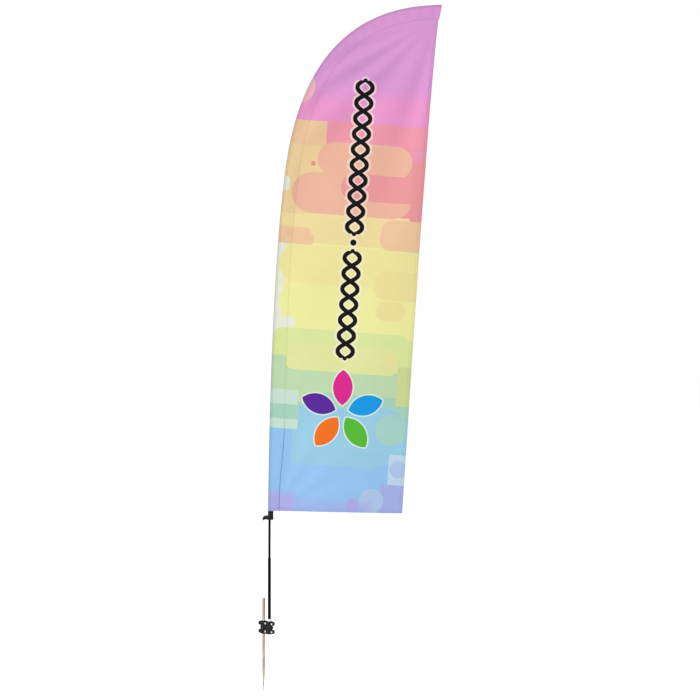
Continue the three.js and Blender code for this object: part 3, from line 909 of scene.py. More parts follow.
def middlePole():
    # a round tube along the mast's line: out over the wall and back down the bore
    reach = np.linspace(0, mast["middleShare"] * mastLength, 90)
    place, way = mastAt(reach)
    path = np.stack([place[:, 0], np.full(len(reach), mastY), place[:, 1]], -1)
    across = np.stack([way[:, 1], np.zeros(len(reach)), -way[:, 0]], -1)
    depth = np.tile([0.0, 1.0, 0.0], (len(reach), 1))
    angle = np.arange(40) * 2 * math.pi / 40
    circle = np.stack([np.cos(angle), np.sin(angle)], -1)
    spokes = circle[None, :, :1] * across[:, None] + circle[None, :, 1:] * depth[:, None]
    outer = path[:, None] + spokes * mast["middleRadius"]
    inner = path[:, None] + spokes * (mast["middleRadius"] - mast["wall"])
    shell = np.concatenate([outer, inner[::-1]])
    closed = gridFaces(2 * len(reach), 40, wrapRows=True, wrapColumns=True)
    piece("middlePole", [(shell.reshape(-1, 3), [closed])], "blackPole", "flag", ["middle_pole"], sharp=50)


# bracket: each half is a relief over a grid, its height worked out from the distance to each feature

bracket = dict(
    height=0.053,
    depth=0.007,
    panel=0.0052,  # depth of the sunk areas between the ribs
    web=(-0.012, 0.041),
    earReach=0.0095,
    ears=[(0.003, 0.017), (0.036, 0.050)],
    rib=(0.024, 0.029),
    ribReach=0.0035,
    stakeBoss=0.0105,
    spindleBoss=(0.012, 0.009),
    screwOffset=0.0156,
    parting=0.0003,
    round=0.0011,
    cell=0.0006,
    fillet=0.0009,
    rim=(0.0020, 0.0026),
    pad=(0.0054, 0.0060),
    gripRings=(0.018, 0.034),
    gripHeight=0.0006,
    gripWidth=0.0011,
)
spacing = math.hypot(mastX, mastY)
alongBracket = np.array([math.cos(bracketYaw), math.sin(bracketYaw), 0])
acrossBracket = np.array([-math.sin(bracketYaw), math.cos(bracketYaw), 0])


def boxDistance(u, w, left, right, bottom, top):
    # distance outside a rectangle, or minus the depth inside it
    du = np.abs(u - (left + right) / 2) - (right - left) / 2
    dw = np.abs(w - (bottom + top) / 2) - (top - bottom) / 2
    outside = np.hypot(np.maximum(du, 0), np.maximum(dw, 0))
    return outside + np.minimum(np.maximum(du, dw), 0)


def blendedMost(first, second, width):
    # the larger of two heights with a fillet of the given width where they meet
    share = np.clip(0.5 + (first - second) / (2 * width), 0, 1)
    return second + (first - second) * share + width * share * (1 - share)


def bracketRelief(u, w):
    left, right = bracket["web"]
    top = bracket["height"]
    rects = [(left, right, 0, top)]
    for low, high in bracket["ears"]:
        rects.append((left - bracket["earReach"], right + bracket["earReach"], low, high))
    rects.append((left, right + bracket["ribReach"], *bracket["rib"]))
    inside = -np.min([boxDistance(u, w, *rect) for rect in rects], axis=0)

    # the web: a rim, the ribs and a pad round each screw stand at full depth, the rest is sunk
    raised = np.zeros_like(u)
    raised = np.maximum(raised, 1 - smoothStep(inside, *bracket["rim"]))
    ribs = [bracket["rib"], (bracket["ears"][0][1], bracket["ears"][0][1] + 0.002)]
    ribs.append((bracket["ears"][1][0] - 0.002, bracket["ears"][1][0]))
    for low, high in ribs:
        raised = np.maximum(raised, 1 - smoothStep(boxDistance(u, w, -1, 1, low, high), 0, 0.0006))
    for side in (-1, 1):
        for low, high in bracket["ears"]:
            away = np.hypot(u - spacing - side * bracket["screwOffset"], w - (low + high) / 2)
            raised = np.maximum(raised, 1 - smoothStep(away, *bracket["pad"]))
    height = bracket["panel"] + (bracket["depth"] - bracket["panel"]) * raised

    stakeBoss = np.sqrt(np.maximum(bracket["stakeBoss"] ** 2 - u**2, 0))
    wide, narrow = bracket["spindleBoss"]
    bossRadius = wide + (narrow - wide) * smoothStep(w, 0.006, top)
    spindleBoss = np.sqrt(np.maximum(bossRadius**2 - (u - spacing) ** 2, 0))
    # two grip rings round the spindle's housing
    for ring in bracket["gripRings"]:
        swell = bracket["gripHeight"] * np.exp(-(((w - ring) / bracket["gripWidth"]) ** 2))
        spindleBoss = spindleBoss + swell * (spindleBoss > 0)
    height = blendedMost(height, stakeBoss, bracket["fillet"])
    height = blendedMost(height, spindleBoss, bracket["fillet"])
    # every outer edge is rounded over
    rim = np.clip(bracket["round"] - inside, 0, bracket["round"])
    height = height - (bracket["round"] - np.sqrt(np.maximum(bracket["round"] ** 2 - rim**2, 0)))
    return inside, height


def bracketChannel(u, w):
    # the back face: flat at the parting line with half-round channels for the stake and the spindle
    channel = np.full_like(u, bracket["parting"])
    stakeBore = hardware["stakeRadius"] + hardware["play"]
    channel = np.maximum(channel, np.sqrt(np.maximum(stakeBore**2 - u**2, 0)))
    spindleBore = hardware["spindleRadius"] + hardware["play"]
    bore = np.where(w > spindleLow[2] + 0.0043, spindleBore, 0.0063) * (w > spindleLow[2] - 0.0003)
    return np.maximum(channel, np.sqrt(np.maximum(bore**2 - (u - spacing) ** 2, 0)))


def gridLines(low, high, edges):
    # even lines with closer ones at each edge, so that rounded edges stay crisp
    lines = list(np.arange(low, high + bracket["cell"] / 2, bracket["cell"]))
    for edge in edges:
        lines.extend(edge + offset for offset in (-0.0011, -0.0006, -0.00025, 0, 0.00025, 0.0006, 0.0011))
    lines = np.array([line for line in sorted(lines) if low <= line <= high])
    keep = np.concatenate([[True], np.diff(lines) > 0.00006])
    for edge in edges:
        keep |= np.abs(lines - edge) < 1e-9
    return lines[keep]


def bracketHalf(name, side, stands):
    left, right = bracket["web"]
    earReach = bracket["earReach"]
    uEdges = [left - earReach, left, right, right + bracket["ribReach"], right + earReach]
    wEdges = [0, bracket["height"], *bracket["rib"], *bracket["ears"][0], *bracket["ears"][1]]
    uLines = gridLines(left - earReach, right + earReach, uEdges)
    wLines = gridLines(0, bracket["height"], wEdges)
    w, u = np.meshgrid(wLines, uLines, indexing="ij")
    height = bracketRelief(u, w)[1]
    floor = np.minimum(bracketChannel(u, w), height - 0.0002)
    middleW, middleU = np.meshgrid(
        (wLines[1:] + wLines[:-1]) / 2,
        (uLines[1:] + uLines[:-1]) / 2,
        indexing="ij",
    )
    inside = bracketRelief(middleU, middleW)[0] > 0
    rows, columns = u.shape
    count = rows * columns
    index = np.arange(count).reshape(rows, columns)
    cell = gridFaces(rows, columns)[inside.ravel()]
    faces = [cell, cell[:, ::-1] + count]
    # side walls wherever a kept cell has no kept neighbour
    padded = np.pad(inside, 1)
    edges = [
        (inside & ~padded[:-2, 1:-1], index[:-1, :-1], index[:-1, 1:]),
        (inside & ~padded[2:, 1:-1], index[1:, 1:], index[1:, :-1]),
        (inside & ~padded[1:-1, :-2], index[1:, :-1], index[:-1, :-1]),
        (inside & ~padded[1:-1, 2:], index[:-1, 1:], index[1:, 1:]),
    ]
    for mask, start, end in edges:
        a, b = start[mask], end[mask]
        faces.append(np.stack([b, a, a + count, b + count], -1))
    front = np.stack([u, side * height, w], -1).reshape(-1, 3)
    back = np.stack([u, side * floor, w], -1).reshape(-1, 3)
    faces = np.vstack(faces)
    used = np.unique(faces)
    renumber = np.zeros(2 * count, dtype=int)
    renumber[used] = np.arange(len(used))
    flat = np.vstack([front, back])[used]
    turn = np.array([alongBracket, acrossBracket, [0, 0, 1]])
    piece(name, [(flat @ turn, [renumber[faces]])], "blackMoulding", "bracket", stands, sharp=40)


# fasteners: their own upright axis is laid along Y of the bracket or the clip

bracketScrew = dict(
    radius=0.0025,
    head=0.0036,
    headHeight=0.003,
    socket=0.0015,
    nut=0.008,
    nutHeight=0.004,
    tail=0.0012,
)
clipScrew = dict(
    radius=0.0015,
    head=0.0028,
    headHeight=0.0018,
    socket=0.0011,
    nut=0.0055,
    nutHeight=0.0024,
    tail=0.0006,
)


def screwPart(size, length):
    # pan head with a six-sided socket, then the shank, drawn from the socket's floor outwards
    head, tall, socket = size["head"], size["headHeight"], size["socket"]
    profile = [(0, tall * 0.42), (socket, tall * 0.42), (socket, 0.0001), (socket * 1.12, 0)]
    shares = [1, 1, 1, 0.6]
    arc = np.linspace(0, math.pi / 2, 9)[1:]
    for angle in arc:
        profile.append((head * 0.55 + head * 0.45 * math.sin(angle), tall * 0.75 * (1 - math.cos(angle))))
        shares.append(0)
    profile += [(head, tall - 0.0002), (head - 0.0003, tall), (size["radius"], tall)]
    end = tall + length
    profile += [(size["radius"], end - 0.0004), (size["radius"] - 0.0004, end), (0, end)]
    shares += [0] * 6
    return turnedPart(np.array(profile), sides=48, hexagon=shares)


def nutPart(size):
    # a six-sided ring whose corners are turned down to a cone on both faces
    corner = size["nut"] / math.sqrt(3)
    tall = size["nutHeight"]
    bore = size["radius"] + 0.0002
    profile = [
        (bore, 0.0004),
        (bore + 0.0004, 0),
        (corner * 0.86, 0),
        (corner, 0.0006),
        (corner, tall - 0.0006),
        (corner * 0.86, tall),
        (bore + 0.0004, tall),
        (bore, tall - 0.0004),
    ]
    shares = [0, 0, 0.05, 1, 1, 0.05, 0, 0]
    return turnedPart(np.array(profile), sides=48, closed=True, hexagon=shares)


def fasteners():
    xWay, yWay = alongBracket, acrossBracket
    seat = bracket["depth"] + hardware["play"]
    size = bracketScrew
    number = 0
    for low, high in bracket["ears"]:
        for side in (-1, 1):
            number += 1
            origin = xWay * (spacing + side * bracket["screwOffset"]) + np.array([0, 0, (low + high) / 2])
            turn = 0.4 + 0.9 * number  # each screw stopped at its own angle
            across = xWay * math.cos(turn) + np.array([0, 0, math.sin(turn)])
            other = np.cross(yWay, across)
            length = 2 * seat + size["nutHeight"] + size["tail"]
            headAt = origin - yWay * (seat + size["headHeight"])
            screw = placed(screwPart(size, length), headAt, across, other, yWay)
            nut = placed(nutPart(size), origin + yWay * seat, across, other, yWay)
            hole, rim = size["radius"] + 0.0003, size["head"] + 0.0004
            corners = [(hole, 0.0002), (hole, 0), (rim, 0), (rim, 0.0003), (hole, 0.0003), (hole, 0.0002)]
            washerRing = softened(corners, 0.0001)[:-1]
            flatWasher = placed(
                turnedPart(washerRing, sides=40, closed=True),
                origin - yWay * (seat - 0.00001),
                across,
                other,
                yWay,
            )
            name, node = f"bracketScrew{number}", f"bracket_screw_{number}"
            piece(name, [screw, flatWasher], "brightSteel", "bracket", [node])
            name, node = f"bracketNut{number}", f"bracket_nut_{number}"
            piece(name, [nut], "brightSteel", "bracket", [node], sharp=25)


# hook clip: a bent strap round the pole with two ears, and a hook arm that droops at its end

clip = dict(
    tall=0.036,
    drop=0.001,
    bore=0.0052,
    wall=0.0016,
    block=0.0153,
    halfDepth=0.0046,
    slot=0.00075,
    reach=0.0298,
    rise=0.018,
    droop=0.003,
    armHalf=0.0045,
    screwX=0.0114,
    screws=(0.0095, 0.0265),
    arch=0.0014,
    bands=(0.022, 0.031),
)


def alongMast(reach, offset):
    # points of the mast's plane at distances along it, offset to the inside of its bend
    place, way = mastAt(reach)
    x = place[:, 0] + way[:, 1] * offset
    z = place[:, 1] - way[:, 0] * offset
    return np.stack([x, np.full(len(x), mastY), z], -1)


def hookClip():
    top = sleeveFoot - clip["drop"]
    reach = np.array([reachAtHeight(top - clip["tall"] / 2)])
    place, way = mastAt(reach)
    upWay = np.array([way[0, 0], 0, way[0, 1]])
    inWay = np.array([way[0, 1], 0, -way[0, 0]])
    yWay = np.array([0.0, 1.0, 0.0])
    origin = np.array([place[0, 0], mastY, place[0, 1]]) - upWay * clip["tall"] / 2

    # strap: a band of rounded section carried along a C round the pole, thicker at its two ears
    ear = (clip["slot"] + clip["halfDepth"]) / 2
    ring = clip["bore"] + clip["wall"] / 2
    start = math.asin(ear / ring)
    around = np.linspace(start, 2 * math.pi - start, 41)
    circle = np.stack([ring * np.cos(around), ring * np.sin(around)], -1)
    corners = np.vstack([[[clip["block"], ear]], circle, [[clip["block"], -ear]]])
    line = softened(corners, 0.0014, 3)
    runs = runAlong(line)
    fine = np.linspace(0, runs[-1], 120)
    line = readAt(fine, runs, line)
    ahead = unit(np.gradient(line, axis=0))
    fromEnd = np.minimum(fine, fine[-1] - fine)
    thinning = 1 - smoothStep(fromEnd, 0.008, 0.0125)
    thick = clip["wall"] / 2 + (ear - clip["slot"] - clip["wall"] / 2) * thinning
    endRound = np.sqrt(np.clip(1 - np.clip(1 - fromEnd / 0.0009, 0, 1) ** 2, 0.02, 1))
    corner = np.linspace(0, 2 * math.pi, 40, endpoint=False)
    across = squared(np.cos(corner), 0.35)
    upright = squared(np.sin(corner), 0.12)
    shrink = 0.0009 * (1 - endRound)
    profile = np.empty((len(line), len(corner), 2))
    profile[..., 0] = (thick - shrink)[:, None] * across
    profile[..., 1] = (clip["tall"] / 2 - shrink)[:, None] * upright
    path = np.stack([line[:, 0], line[:, 1], np.full(len(line), clip["tall"] / 2)], -1)
    sideways = np.stack([-ahead[:, 1], ahead[:, 0], np.zeros(len(line))], -1)
    upwards = np.tile([0.0, 0.0, 1.0], (len(line), 1))
    strap = carriedPart(path, sideways, upwards, profile)

    # hook: a rounded section carried outwards; its top is a flat arch, its underside dips, rises and
    # ends in a short droop
    share = np.concatenate([np.linspace(0, 0.86, 36), 1 - 0.14 * np.linspace(1, 0, 26)[1:] ** 2])
    topLine = clip["rise"] * (1 - share**4) ** 0.5
    lowLine = clip["arch"] * np.sin(math.pi * np.clip(share / 0.75, 0, 1))
    lowLine = lowLine - clip["droop"] * np.exp(-(((share - 0.82) / 0.09) ** 2)) * (share < 1.01)
    lowLine = np.minimum(lowLine + 3.4e-3 * smoothStep(share, 0.9, 1.0), topLine - 0.0004)
    half = clip["armHalf"] * (1 - 0.22 * share) * np.sqrt(np.clip(1 - share**7, 0.0025, 1))
    middle = (topLine + lowLine) / 2
    tall = (topLine - lowLine) / 2
    armStart = clip["bore"] + 0.0006
    path = np.stack([-(armStart + (clip["reach"] - armStart) * share), np.zeros(len(share)), middle], -1)
    across = squared(np.cos(corner), 0.45)
    upright = squared(np.sin(corner), 0.45)
    # a shallow groove along both flanks
    groove = 1 - 0.16 * np.exp(-((upright / 0.45) ** 2))
    profile = np.empty((len(share), len(corner), 2))
    profile[..., 0] = half[:, None] * across * groove
    profile[..., 1] = tall[:, None] * upright
    sideways = np.tile([0.0, 1.0, 0.0], (len(share), 1))
    upwards = np.tile([0.0, 0.0, 1.0], (len(share), 1))
    arm = carriedPart(path, sideways, upwards, profile)

    # two bands moulded round the strap
    bands = []
    angle = np.linspace(start + 0.5, 2 * math.pi - start - 0.5, 60)
    for height in clip["bands"]:
        rise = 0.0005 * np.sin(np.linspace(0.05, math.pi - 0.05, len(angle)))
        radius = clip["bore"] + clip["wall"] - 0.0004 + rise
        path = np.stack([radius * np.cos(angle), radius * np.sin(angle), np.full(len(angle), height)], -1)
        outward = np.stack([np.cos(angle), np.sin(angle), np.zeros(len(angle))], -1)
        upwards = np.tile([0.0, 0.0, 1.0], (len(angle), 1))
        ringAngle = np.linspace(0, 2 * math.pi, 12, endpoint=False)
        oval = np.stack([0.0007 * np.cos(ringAngle), 0.0011 * np.sin(ringAngle)], -1)
        bands.append(carriedPart(path, outward, upwards, oval[None].repeat(len(angle), 0)))
    ways = (inWay, yWay, upWay)
    parts = [placed(part, origin, *ways) for part in [strap, arm, *bands]]
    piece("hookClip", parts, "blackMoulding", "tension_clip", ["hook_clip"])

    seat = clip["halfDepth"] + hardware["play"]
    size = clipScrew
    for number, height in enumerate(clip["screws"], 1):
        centre = origin + inWay * clip["screwX"] + upWay * height
        length = 2 * seat + size["nutHeight"] + size["tail"]
        turn = 0.7 * number
        across = inWay * math.cos(turn) + upWay * math.sin(turn)
        other = np.cross(yWay, across)
        headAt = centre - yWay * (seat + size["headHeight"])
        screw = placed(screwPart(size, length), headAt, across, other, yWay)
        nut = placed(nutPart(size), centre + yWay * seat, across, other, yWay)
        piece(f"clipScrew{number}", [screw], "blackSteel", "tension_clip", [f"clip_screw_{number}"])
        piece(f"clipNut{number}", [nut], "blackSteel", "tension_clip", [f"clip_nut_{number}"], sharp=25)


# cloth: the sleeve folded round the mast, and the panel sewn between its two layers

sail = dict(
    leading=0.0063,  # radius of the fold round the mast
    layer=0.0005,
    tailHalf=0.0009,
    overlap=0.004,
    seamLow=0.0355,  # the seam's distance from the mast: at the foot, at its widest and above
    seamWide=0.0515,
    seamHigh=0.046,
    trailingHollow=0.0095,
    hollowShare=0.15,
    footX=0.546,
    footZ=0.4954,
    belly=0.009,
    rays=0.0048,
    flutter=0.006,
    ripple=0.0006,
    endSlope=0.22,
    rowStep=0.0095,
    columns=56,
)


def slanted(reach, offset):
    # points beside the mast, drawn back near its tip so that the sleeve's end follows the free edge
    slope = sail["endSlope"] * smoothStep(reach, mastLength - 0.08, mastLength)
    return alongMast(reach - slope * np.maximum(offset, 0), offset)


def seamAt(reach):
    up = reach - footReach
    widest = sail["seamWide"] - sail["seamLow"]
    back = sail["seamWide"] - sail["seamHigh"]
    return sail["seamLow"] + widest * smoothStep(up, 0.04, 0.34) - back * smoothStep(up, 0.42, 1.1)


def trailingEdge():
    # a shallow hollow curve from the foot's outer corner to the seam's upper end
    end = np.array([mastLength])
    top = slanted(end, seamAt(end))[0, [0, 2]]
    foot = np.array([mastX + sail["footX"], sail["footZ"]])
    pull = top + (foot - top) * sail["hollowShare"] - np.array([2 * sail["trailingHollow"], 0])
    share = np.linspace(0, 1, 400)[:, None]
    return (1 - share) ** 2 * foot + 2 * share * (1 - share) * pull + share**2 * top


edgePoints = trailingEdge()
edgeReach = runAlong(edgePoints)
tip = edgePoints[-1]


def rowEnds(reach):
    # where each row of the panel meets the seam and the trailing edge
    share = (reach - footReach) / (mastLength - footReach)
    along = (reach - footReach) + (edgeReach[-1] - (mastLength - footReach)) * share**2
    outer = readAt(along, edgeReach, edgePoints)
    seam = slanted(reach, seamAt(reach))[:, [0, 2]]
    return seam, outer


def clothDepth(x, z, fromMast, fromTrail):
    # a slow belly, creases fanning from the tip and from the sleeve's foot, a wavering free edge
    # and fine ripples beside the seam; all die out where the cloth wraps the pole
    away = np.hypot(x - tip[0], z - tip[1])
    bearing = np.arctan2(tip[0] - x, tip[1] - z)
    fan = np.sin(21 * bearing + 1.2 * np.sin(6 * bearing) + 0.6) * smoothStep(away, 0.05, 0.45)
    depth = sail["rays"] * fan * (1 - 0.75 * smoothStep(away, 0.6, 1.6))
    low = np.hypot(x - mastX - 0.03, z - sleeveFoot)
    rise = np.arctan2(z - sleeveFoot, x - mastX - 0.03)
    fan = np.sin(15 * rise + 0.8) * smoothStep(low, 0.02, 0.22) * (1 - smoothStep(low, 0.3, 0.85))
    depth = depth + 0.35 * sail["rays"] * fan
    waver = np.sin(2 * math.pi * z / 0.52 + 0.9) * np.exp(-fromTrail / 0.13)
    depth = depth + sail["flutter"] * waver * smoothStep(away, 0.1, 0.6)
    loose = smoothStep(fromMast, 0.03, 0.25) * smoothStep(fromTrail, -0.1, 0.25)
    depth = depth - sail["belly"] * loose * np.sin(2 * math.pi * (z - 0.3) / 2.9)
    near = np.exp(-(((fromMast - 0.06) / 0.03) ** 2))
    depth = depth + sail["ripple"] * np.sin(2 * math.pi * z / 0.031 + 3 * np.sin(9 * z)) * near
    return depth * smoothStep(fromMast, 0.008, 0.07)


def closedSheet(front, back):
    # two grids of the same size joined round their rim
    rows, columns = front.shape[:2]
    count = rows * columns
    index = np.arange(count).reshape(rows, columns)
    rim = np.concatenate([index[0], index[1:, -1], index[-1, -2::-1], index[-2:0:-1, 0]])
    following = np.roll(rim, -1)
    cells = gridFaces(rows, columns)
    walls = np.stack([rim, following, following + count, rim + count], -1)
    points = np.vstack([front.reshape(-1, 3), back.reshape(-1, 3)])
    sides = np.concatenate([np.zeros(len(cells)), np.ones(len(cells)), np.zeros(len(walls))])
    return points, [cells, cells[:, ::-1] + count, walls], sides


def clothMaps(edges, spread):
    # both grids of a sheet carry the same two maps
    grids = dict(clothEdges=edges, clothSpread=spread)
    return {name: np.vstack([grid.reshape(-1, 2)] * 2) for name, grid in grids.items()}


clothFaces = ["clothFront", "clothBack"]
hemSteps = np.array([0, 0.0008, 0.004, 0.009, 0.0142, 0.0152, 0.0160, 0.0168, 0.018])


def panelRows():
    steps = np.arange(hemSteps[-1] + sail["rowStep"], mastLength - footReach, sail["rowStep"])
    return footReach + np.concatenate([hemSteps, steps[:-1], [mastLength - footReach]])


def flagPanel():
    reach = panelRows()
    seam, outer = rowEnds(reach)
    row = outer - seam
    length = np.linalg.norm(row, axis=1)
    way = row / np.maximum(length, 1e-6)[:, None]
    way[-1] = way[-2]
    edgeWay = np.gradient(outer, axis=0)
    edgeWay[-1] = edgeWay[-2]
    edgeWay = unit(edgeWay)
    slant = np.clip(np.abs(way[:, 0] * edgeWay[:, 1] - way[:, 1] * edgeWay[:, 0]), 0.3, 1)
    # across each row: even steps from inside the sleeve's tail, then the trailing hem's own steps
    total = length + sail["overlap"]
    most = total[:, None] * np.linspace(0.5, 0, len(hemSteps))
    hem = np.minimum(hemSteps[::-1][None] / slant[:, None], most)
    even = np.linspace(0, 1, sail["columns"])[None] * (total - hem[:, 0])[:, None]
    across = np.hstack([even[:, :-1], total[:, None] - hem]) - sail["overlap"]
    x = seam[:, :1] + way[:, :1] * across
    z = seam[:, 1:] + way[:, 1:] * across
    fromTrail = np.maximum(length[:, None] - across, 0)
    fromMast = seamAt(reach)[:, None] + across
    depth = clothDepth(x, z, fromMast, fromTrail)
    footWay = (outer[0] - seam[0]) / np.linalg.norm(outer[0] - seam[0])
    fromFoot = np.abs((x - seam[0, 0]) * footWay[1] - (z - seam[0, 1]) * footWay[0])
    fromHem = np.minimum(fromTrail * slant[:, None], fromFoot)
    inHem = 1 - smoothStep(fromHem, cloth["hemWidth"] - 0.0008, cloth["hemWidth"])
    half = cloth["thickness"] / 2 + cloth["hemLift"] * inHem
    half = half * np.clip(0.35 + fromHem / 0.0008, 0, 1)
    front = np.stack([x, mastY + depth - half, z], -1)
    back = np.stack([x, mastY + depth + half, z], -1)
    points, faces, sides = closedSheet(front, back)
    up = np.broadcast_to(reach[:, None] - footReach, x.shape)
    maps = clothMaps(np.stack([fromHem, across], -1), np.stack([fromMast, up], -1))
    form = [(points, faces)]
    panel = piece("flagPanel", form, clothFaces, "flag", ["flag_panel"], maps=maps, sides=sides)
    # its cut: the seam, the trailing edge and the foot laid flat
    outline = np.vstack([seam, outer[::-1]])
    following = np.roll(outline, -1, axis=0)
    area = abs((outline[:, 0] * following[:, 1] - following[:, 0] * outline[:, 1]).sum()) / 2
    wide, tall = np.ptp(outline, axis=0)
    return panel, (float(wide), float(tall)), float(area)


def sleeveSection(reach, spare, wall=0.0):
    # across the sleeve: down the front layer from the seam, round the mast, back along the other layer
    seam = seamAt(reach) + sail["overlap"]
    radius = sail["leading"] + spare - wall
    flat = np.linspace(1, 0, 22) ** 1.15
    bend = np.linspace(0, math.pi, 19)[1:-1]
    fold = -radius * np.sin(bend) * np.ones((len(reach), 1))
    offset = np.hstack([seam[:, None] * flat, fold, seam[:, None] * flat[::-1]])
    tail = sail["tailHalf"] + spare - wall
    taper = tail + (radius - tail) * (1 - flat) ** 1.9
    slack = 0.0007 * np.sin(reach * 2 * math.pi / 0.055 + 2 * np.sin(reach * 8))[:, None]
    taper = taper + (np.sin(math.pi * flat) ** 2)[None] * (slack + 0.0008)
    cap = radius * np.cos(bend) * np.ones((len(reach), 1))
    return offset, np.hstack([-taper, -cap, taper[:, ::-1]])


def sleeveGrid(reach, spare, wall=0.0, squeeze=None):
    offset, thick = sleeveSection(reach, spare, wall)
    if squeeze is not None:
        thick = thick * squeeze[:, None]
    seam, outer = rowEnds(np.minimum(reach, mastLength))
    length = np.linalg.norm(outer - seam, axis=1)[:, None]
    flat = np.stack([slanted(reach, column) for column in offset.T], 1)
    fromTrail = np.maximum(length + seamAt(reach)[:, None] - offset, 0)
    flat[..., 1] += clothDepth(flat[..., 0], flat[..., 2], offset, fromTrail) + thick
    return flat, offset


def poleSleeve():
    up = np.arange(hemSteps[-1] + 0.006, mastLength - footReach - 0.002, 0.006)
    reach = footReach + np.concatenate([hemSteps, up, [mastLength - footReach]])
    fromHem = reach - footReach
    lift = cloth["hemLift"] * (1 - smoothStep(fromHem, cloth["hemWidth"] - 0.0008, cloth["hemWidth"]))
    outer, offset = sleeveGrid(reach, 0.0)
    inner = sleeveGrid(reach, 0.0, sail["layer"])[0]
    # the hem's second layer thickens the foot outwards
    outer = outer + unit(outer - inner) * lift[:, None, None]
    points, faces, sides = closedSheet(outer, inner)
    fromSeam = offset - seamAt(reach)[:, None] - sail["overlap"]
    edges = np.stack(np.broadcast_arrays(fromHem[:, None], fromSeam), -1)
    spread = np.stack(np.broadcast_arrays(offset, fromHem[:, None]), -1)
    maps = clothMaps(edges, spread)
    girth = float(2 * (seamAt(reach).mean() + sail["overlap"]) + math.pi * sail["leading"])
    form = [(points, faces)]
    made = piece("poleSleeve", form, clothFaces, "flag", ["pole_sleeve"], maps=maps, sides=sides)
    return made, (girth, float(mastLength - footReach))


def tipPatch():
    # a second layer over the sleeve's end, drawn shut past the mast's tip
    shut = np.linspace(0, 1, 9)
    reach = mastLength + np.concatenate([[-0.032, -0.0312, -0.026, -0.018, -0.01, -0.004], 0.0028 * shut])
    squeeze = np.concatenate([np.ones(6), np.sqrt(1 - 0.985 * shut**2)])
    outer, offset = sleeveGrid(reach, 0.0007, 0.0, squeeze)
    inner = sleeveGrid(reach, 0.0004, sail["layer"] * 0.5, squeeze)[0]
    points, faces, sides = closedSheet(outer, inner)
    edges = np.stack(np.broadcast_arrays(np.full((len(reach), 1), 0.05), offset - 0.2), -1)
    spread = np.stack(np.broadcast_arrays(offset, (reach - footReach)[:, None]), -1)
    maps = clothMaps(edges, spread)
    form = [(points, faces)]
    made = piece("tipPatch", form, clothFaces, "flag", ["tip_pocket"], maps=maps, sides=sides)
    girth = float(2 * (seamAt(mastLength) + sail["overlap"]) + math.pi * sail["leading"])
    return made, (girth, 0.035)


# stitching: short arched loops of thread, set end to end along a line on the cloth

thread = dict(
    pitch=0.0034,
    length=0.0027,
    half=0.00026,
    arch=0.00022,
    seamInsets=(0.0018, 0.0062),
    hemInsets=(0.0125, 0.0035),
)


def stitchRow(path, up):
    # the line is measured off at the pitch, and one small spindle-shaped loop is laid at each mark
    runs = runAlong(path)
    marks = np.arange(thread["pitch"] / 2, runs[-1], thread["pitch"])
    centre = readAt(marks, runs, path)
    ahead = readAt(marks + 0.001, runs, path) - centre
    ahead /= np.maximum(np.linalg.norm(ahead, axis=1, keepdims=True), 1e-9)
    lift = readAt(marks, runs, up)
    side = np.cross(ahead, lift)
    station = np.array([-1, -0.55, 0, 0.55, 1])
    swell = np.array([0, 0.85, 1, 0.85, 0])
    angle = np.arange(4) * math.pi / 2
    along = np.broadcast_to(station[:, None], (5, 4)) * thread["length"] / 2
    sideways = swell[:, None] * np.cos(angle) * thread["half"]
    raised = swell[:, None] * np.sin(angle) * thread["half"] + (1 - station[:, None] ** 2) * thread["arch"]
    form = [shape.reshape(1, -1, 1) for shape in (along, sideways, raised)]
    points = centre[:, None] + ahead[:, None] * form[0] + side[:, None] * form[1] + lift[:, None] * form[2]
    cells = gridFaces(5, 4, wrapColumns=True)
    faces = (cells[None] + np.arange(len(marks))[:, None, None] * 20).reshape(-1, 4)
    return points.reshape(-1, 3), [faces]


def seamStitches():
    rows = []
    reach = np.arange(footReach + 0.002, mastLength - 0.001, 0.004)
    for inset in thread["seamInsets"]:
        offset = seamAt(reach) + sail["overlap"] - inset
        place = slanted(reach, offset)
        seam, outer = rowEnds(reach)
        fromTrail = np.linalg.norm(outer - seam, axis=1)
        depth = clothDepth(place[:, 0], place[:, 2], offset, fromTrail)
        for side in (-1, 1):
            line = place.copy()
            line[:, 1] += depth + side * (sail["tailHalf"] + 0.0001)
            rows.append(stitchRow(line, np.tile([0.0, side, 0.0], (len(line), 1))))
    return piece("seamStitches", rows, "sewingThread", "flag")


def hemStitches():
    rows = []
    seam, outer = rowEnds(panelRows())
    half = cloth["thickness"] / 2 + cloth["hemLift"]
    # trailing hem: the edge curve moved inwards along its own normal
    edgeWay = unit(np.gradient(edgePoints, axis=0))
    inward = np.stack([-edgeWay[:, 1], edgeWay[:, 0]], -1)
    for inset in thread["hemInsets"]:
        line = (edgePoints + inward * inset)[4:-14]
        fromMast = np.full(len(line), 0.3)
        rows += hemPair(line, fromMast, inset, half)
    foot = seam[0] + (outer[0] - seam[0]) * np.linspace(0.015, 0.97, 200)[:, None]
    rise = np.array([-(outer[0] - seam[0])[1], (outer[0] - seam[0])[0]])
    rise /= np.linalg.norm(rise)
    across = np.linalg.norm(foot - seam[0], axis=1)
    for inset in thread["hemInsets"]:
        fromMast = seamAt(np.array([footReach])) + across
        rows += hemPair(foot + rise * inset, fromMast, across[-1] - across, half)
    return piece("hemStitches", rows, "sewingThread", "flag")


def hemPair(line, fromMast, fromTrail, half):
    rows = []
    depth = clothDepth(line[:, 0], line[:, 1], fromMast, fromTrail)
    for side in (-1, 1):
        path = np.stack([line[:, 0], mastY + depth + side * half, line[:, 1]], -1)
        rows.append(stitchRow(path, np.tile([0.0, side, 0.0], (len(path), 1))))
    return rows


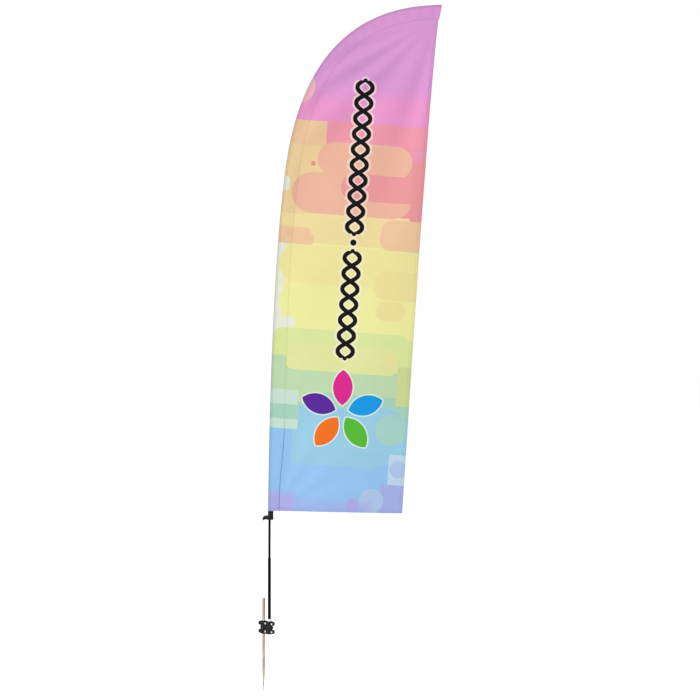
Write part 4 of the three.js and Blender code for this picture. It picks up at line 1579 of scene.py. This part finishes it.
def sleeveStitches():
    # round the sleeve's foot, and twice across the tip patch
    rows = []
    rounds = [(footReach + thread["hemInsets"][0], cloth["hemLift"]), (mastLength - 0.0295, 0.0008)]
    rounds.append((mastLength - 0.006, 0.0008))
    for reach, spare in rounds:
        ring = sleeveGrid(np.array([reach]), spare)[0][0][2:-2]
        inner = sleeveGrid(np.array([reach]), spare, 0.0004)[0][0][2:-2]
        rows.append(stitchRow(ring, unit(ring - inner)))
    return piece("sleeveStitches", rows, "sewingThread", "flag")


groundStake()
bearingAndPole()
middlePole()
print("stake, bearing and poles made")

bracketHalf("bracketFront", -1, ["bracket_front"])
bracketHalf("bracketRear", 1, ["bracket_rear"])
fasteners()
hookClip()
print("bracket, fasteners and clip made")

panel, panelCut, panelArea = flagPanel()
sleeve, sleeveCut = poleSleeve()
patch, patchCut = tipPatch()
seams = seamStitches()
hems = hemStitches()
ends = sleeveStitches()
print("panel, sleeve and stitching made")

# the nodes that keep their own shape take the finer finishes
kept = dict(
    spindle_pin="brightSteel",
    upper_pole="blackPole",
    tip_pole="blackPole",
    joint_spigot_lower="brightSteel",
    joint_spigot_upper="brightSteel",
    tip_cap="blackRubber",
    pole_stop_plug="whiteNylon",
)
for node, name in kept.items():
    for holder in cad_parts[node].material_slots:
        holder.material = finish[name]


# floor

floor = dict(drop=0.006, radius=30.0)


def studioFloor():
    # rings about the stake, growing outwards, with a barely visible unevenness
    ring = np.linspace(0, 1, 30) ** 2 * floor["radius"]
    angle = np.arange(64) * 2 * math.pi / 64
    x, y = ring[:, None] * np.cos(angle), ring[:, None] * np.sin(angle)
    low = cadLow[2] - floor["drop"]
    z = low + 0.0004 * np.sin(3 * x) * np.cos(2.3 * y)
    mesh = bpy.data.meshes.new("studioFloor")
    points = np.stack([x, y, z], -1).reshape(-1, 3)
    mesh.from_pydata(points.tolist(), [], gridFaces(30, 64, wrapColumns=True).tolist())
    form = bmesh.new()
    form.from_mesh(mesh)
    bmesh.ops.remove_doubles(form, verts=form.verts, dist=1e-5)
    bmesh.ops.recalc_face_normals(form, faces=form.faces)
    form.to_mesh(mesh)
    form.free()
    made, shader, place = newMaterial("paleFloor", Roughness=0.7)
    tone = place.noise(1.5, 3)
    feed(shader, Base_Color=tone.ramp([(0.3, rgb(254, 254, 254)), (0.7, rgb(255, 255, 255))]))
    mesh.materials.append(made)
    ground = bpy.data.objects.new("studioFloor", mesh)
    bpy.context.collection.objects.link(ground)


studioFloor()
print("floor made")
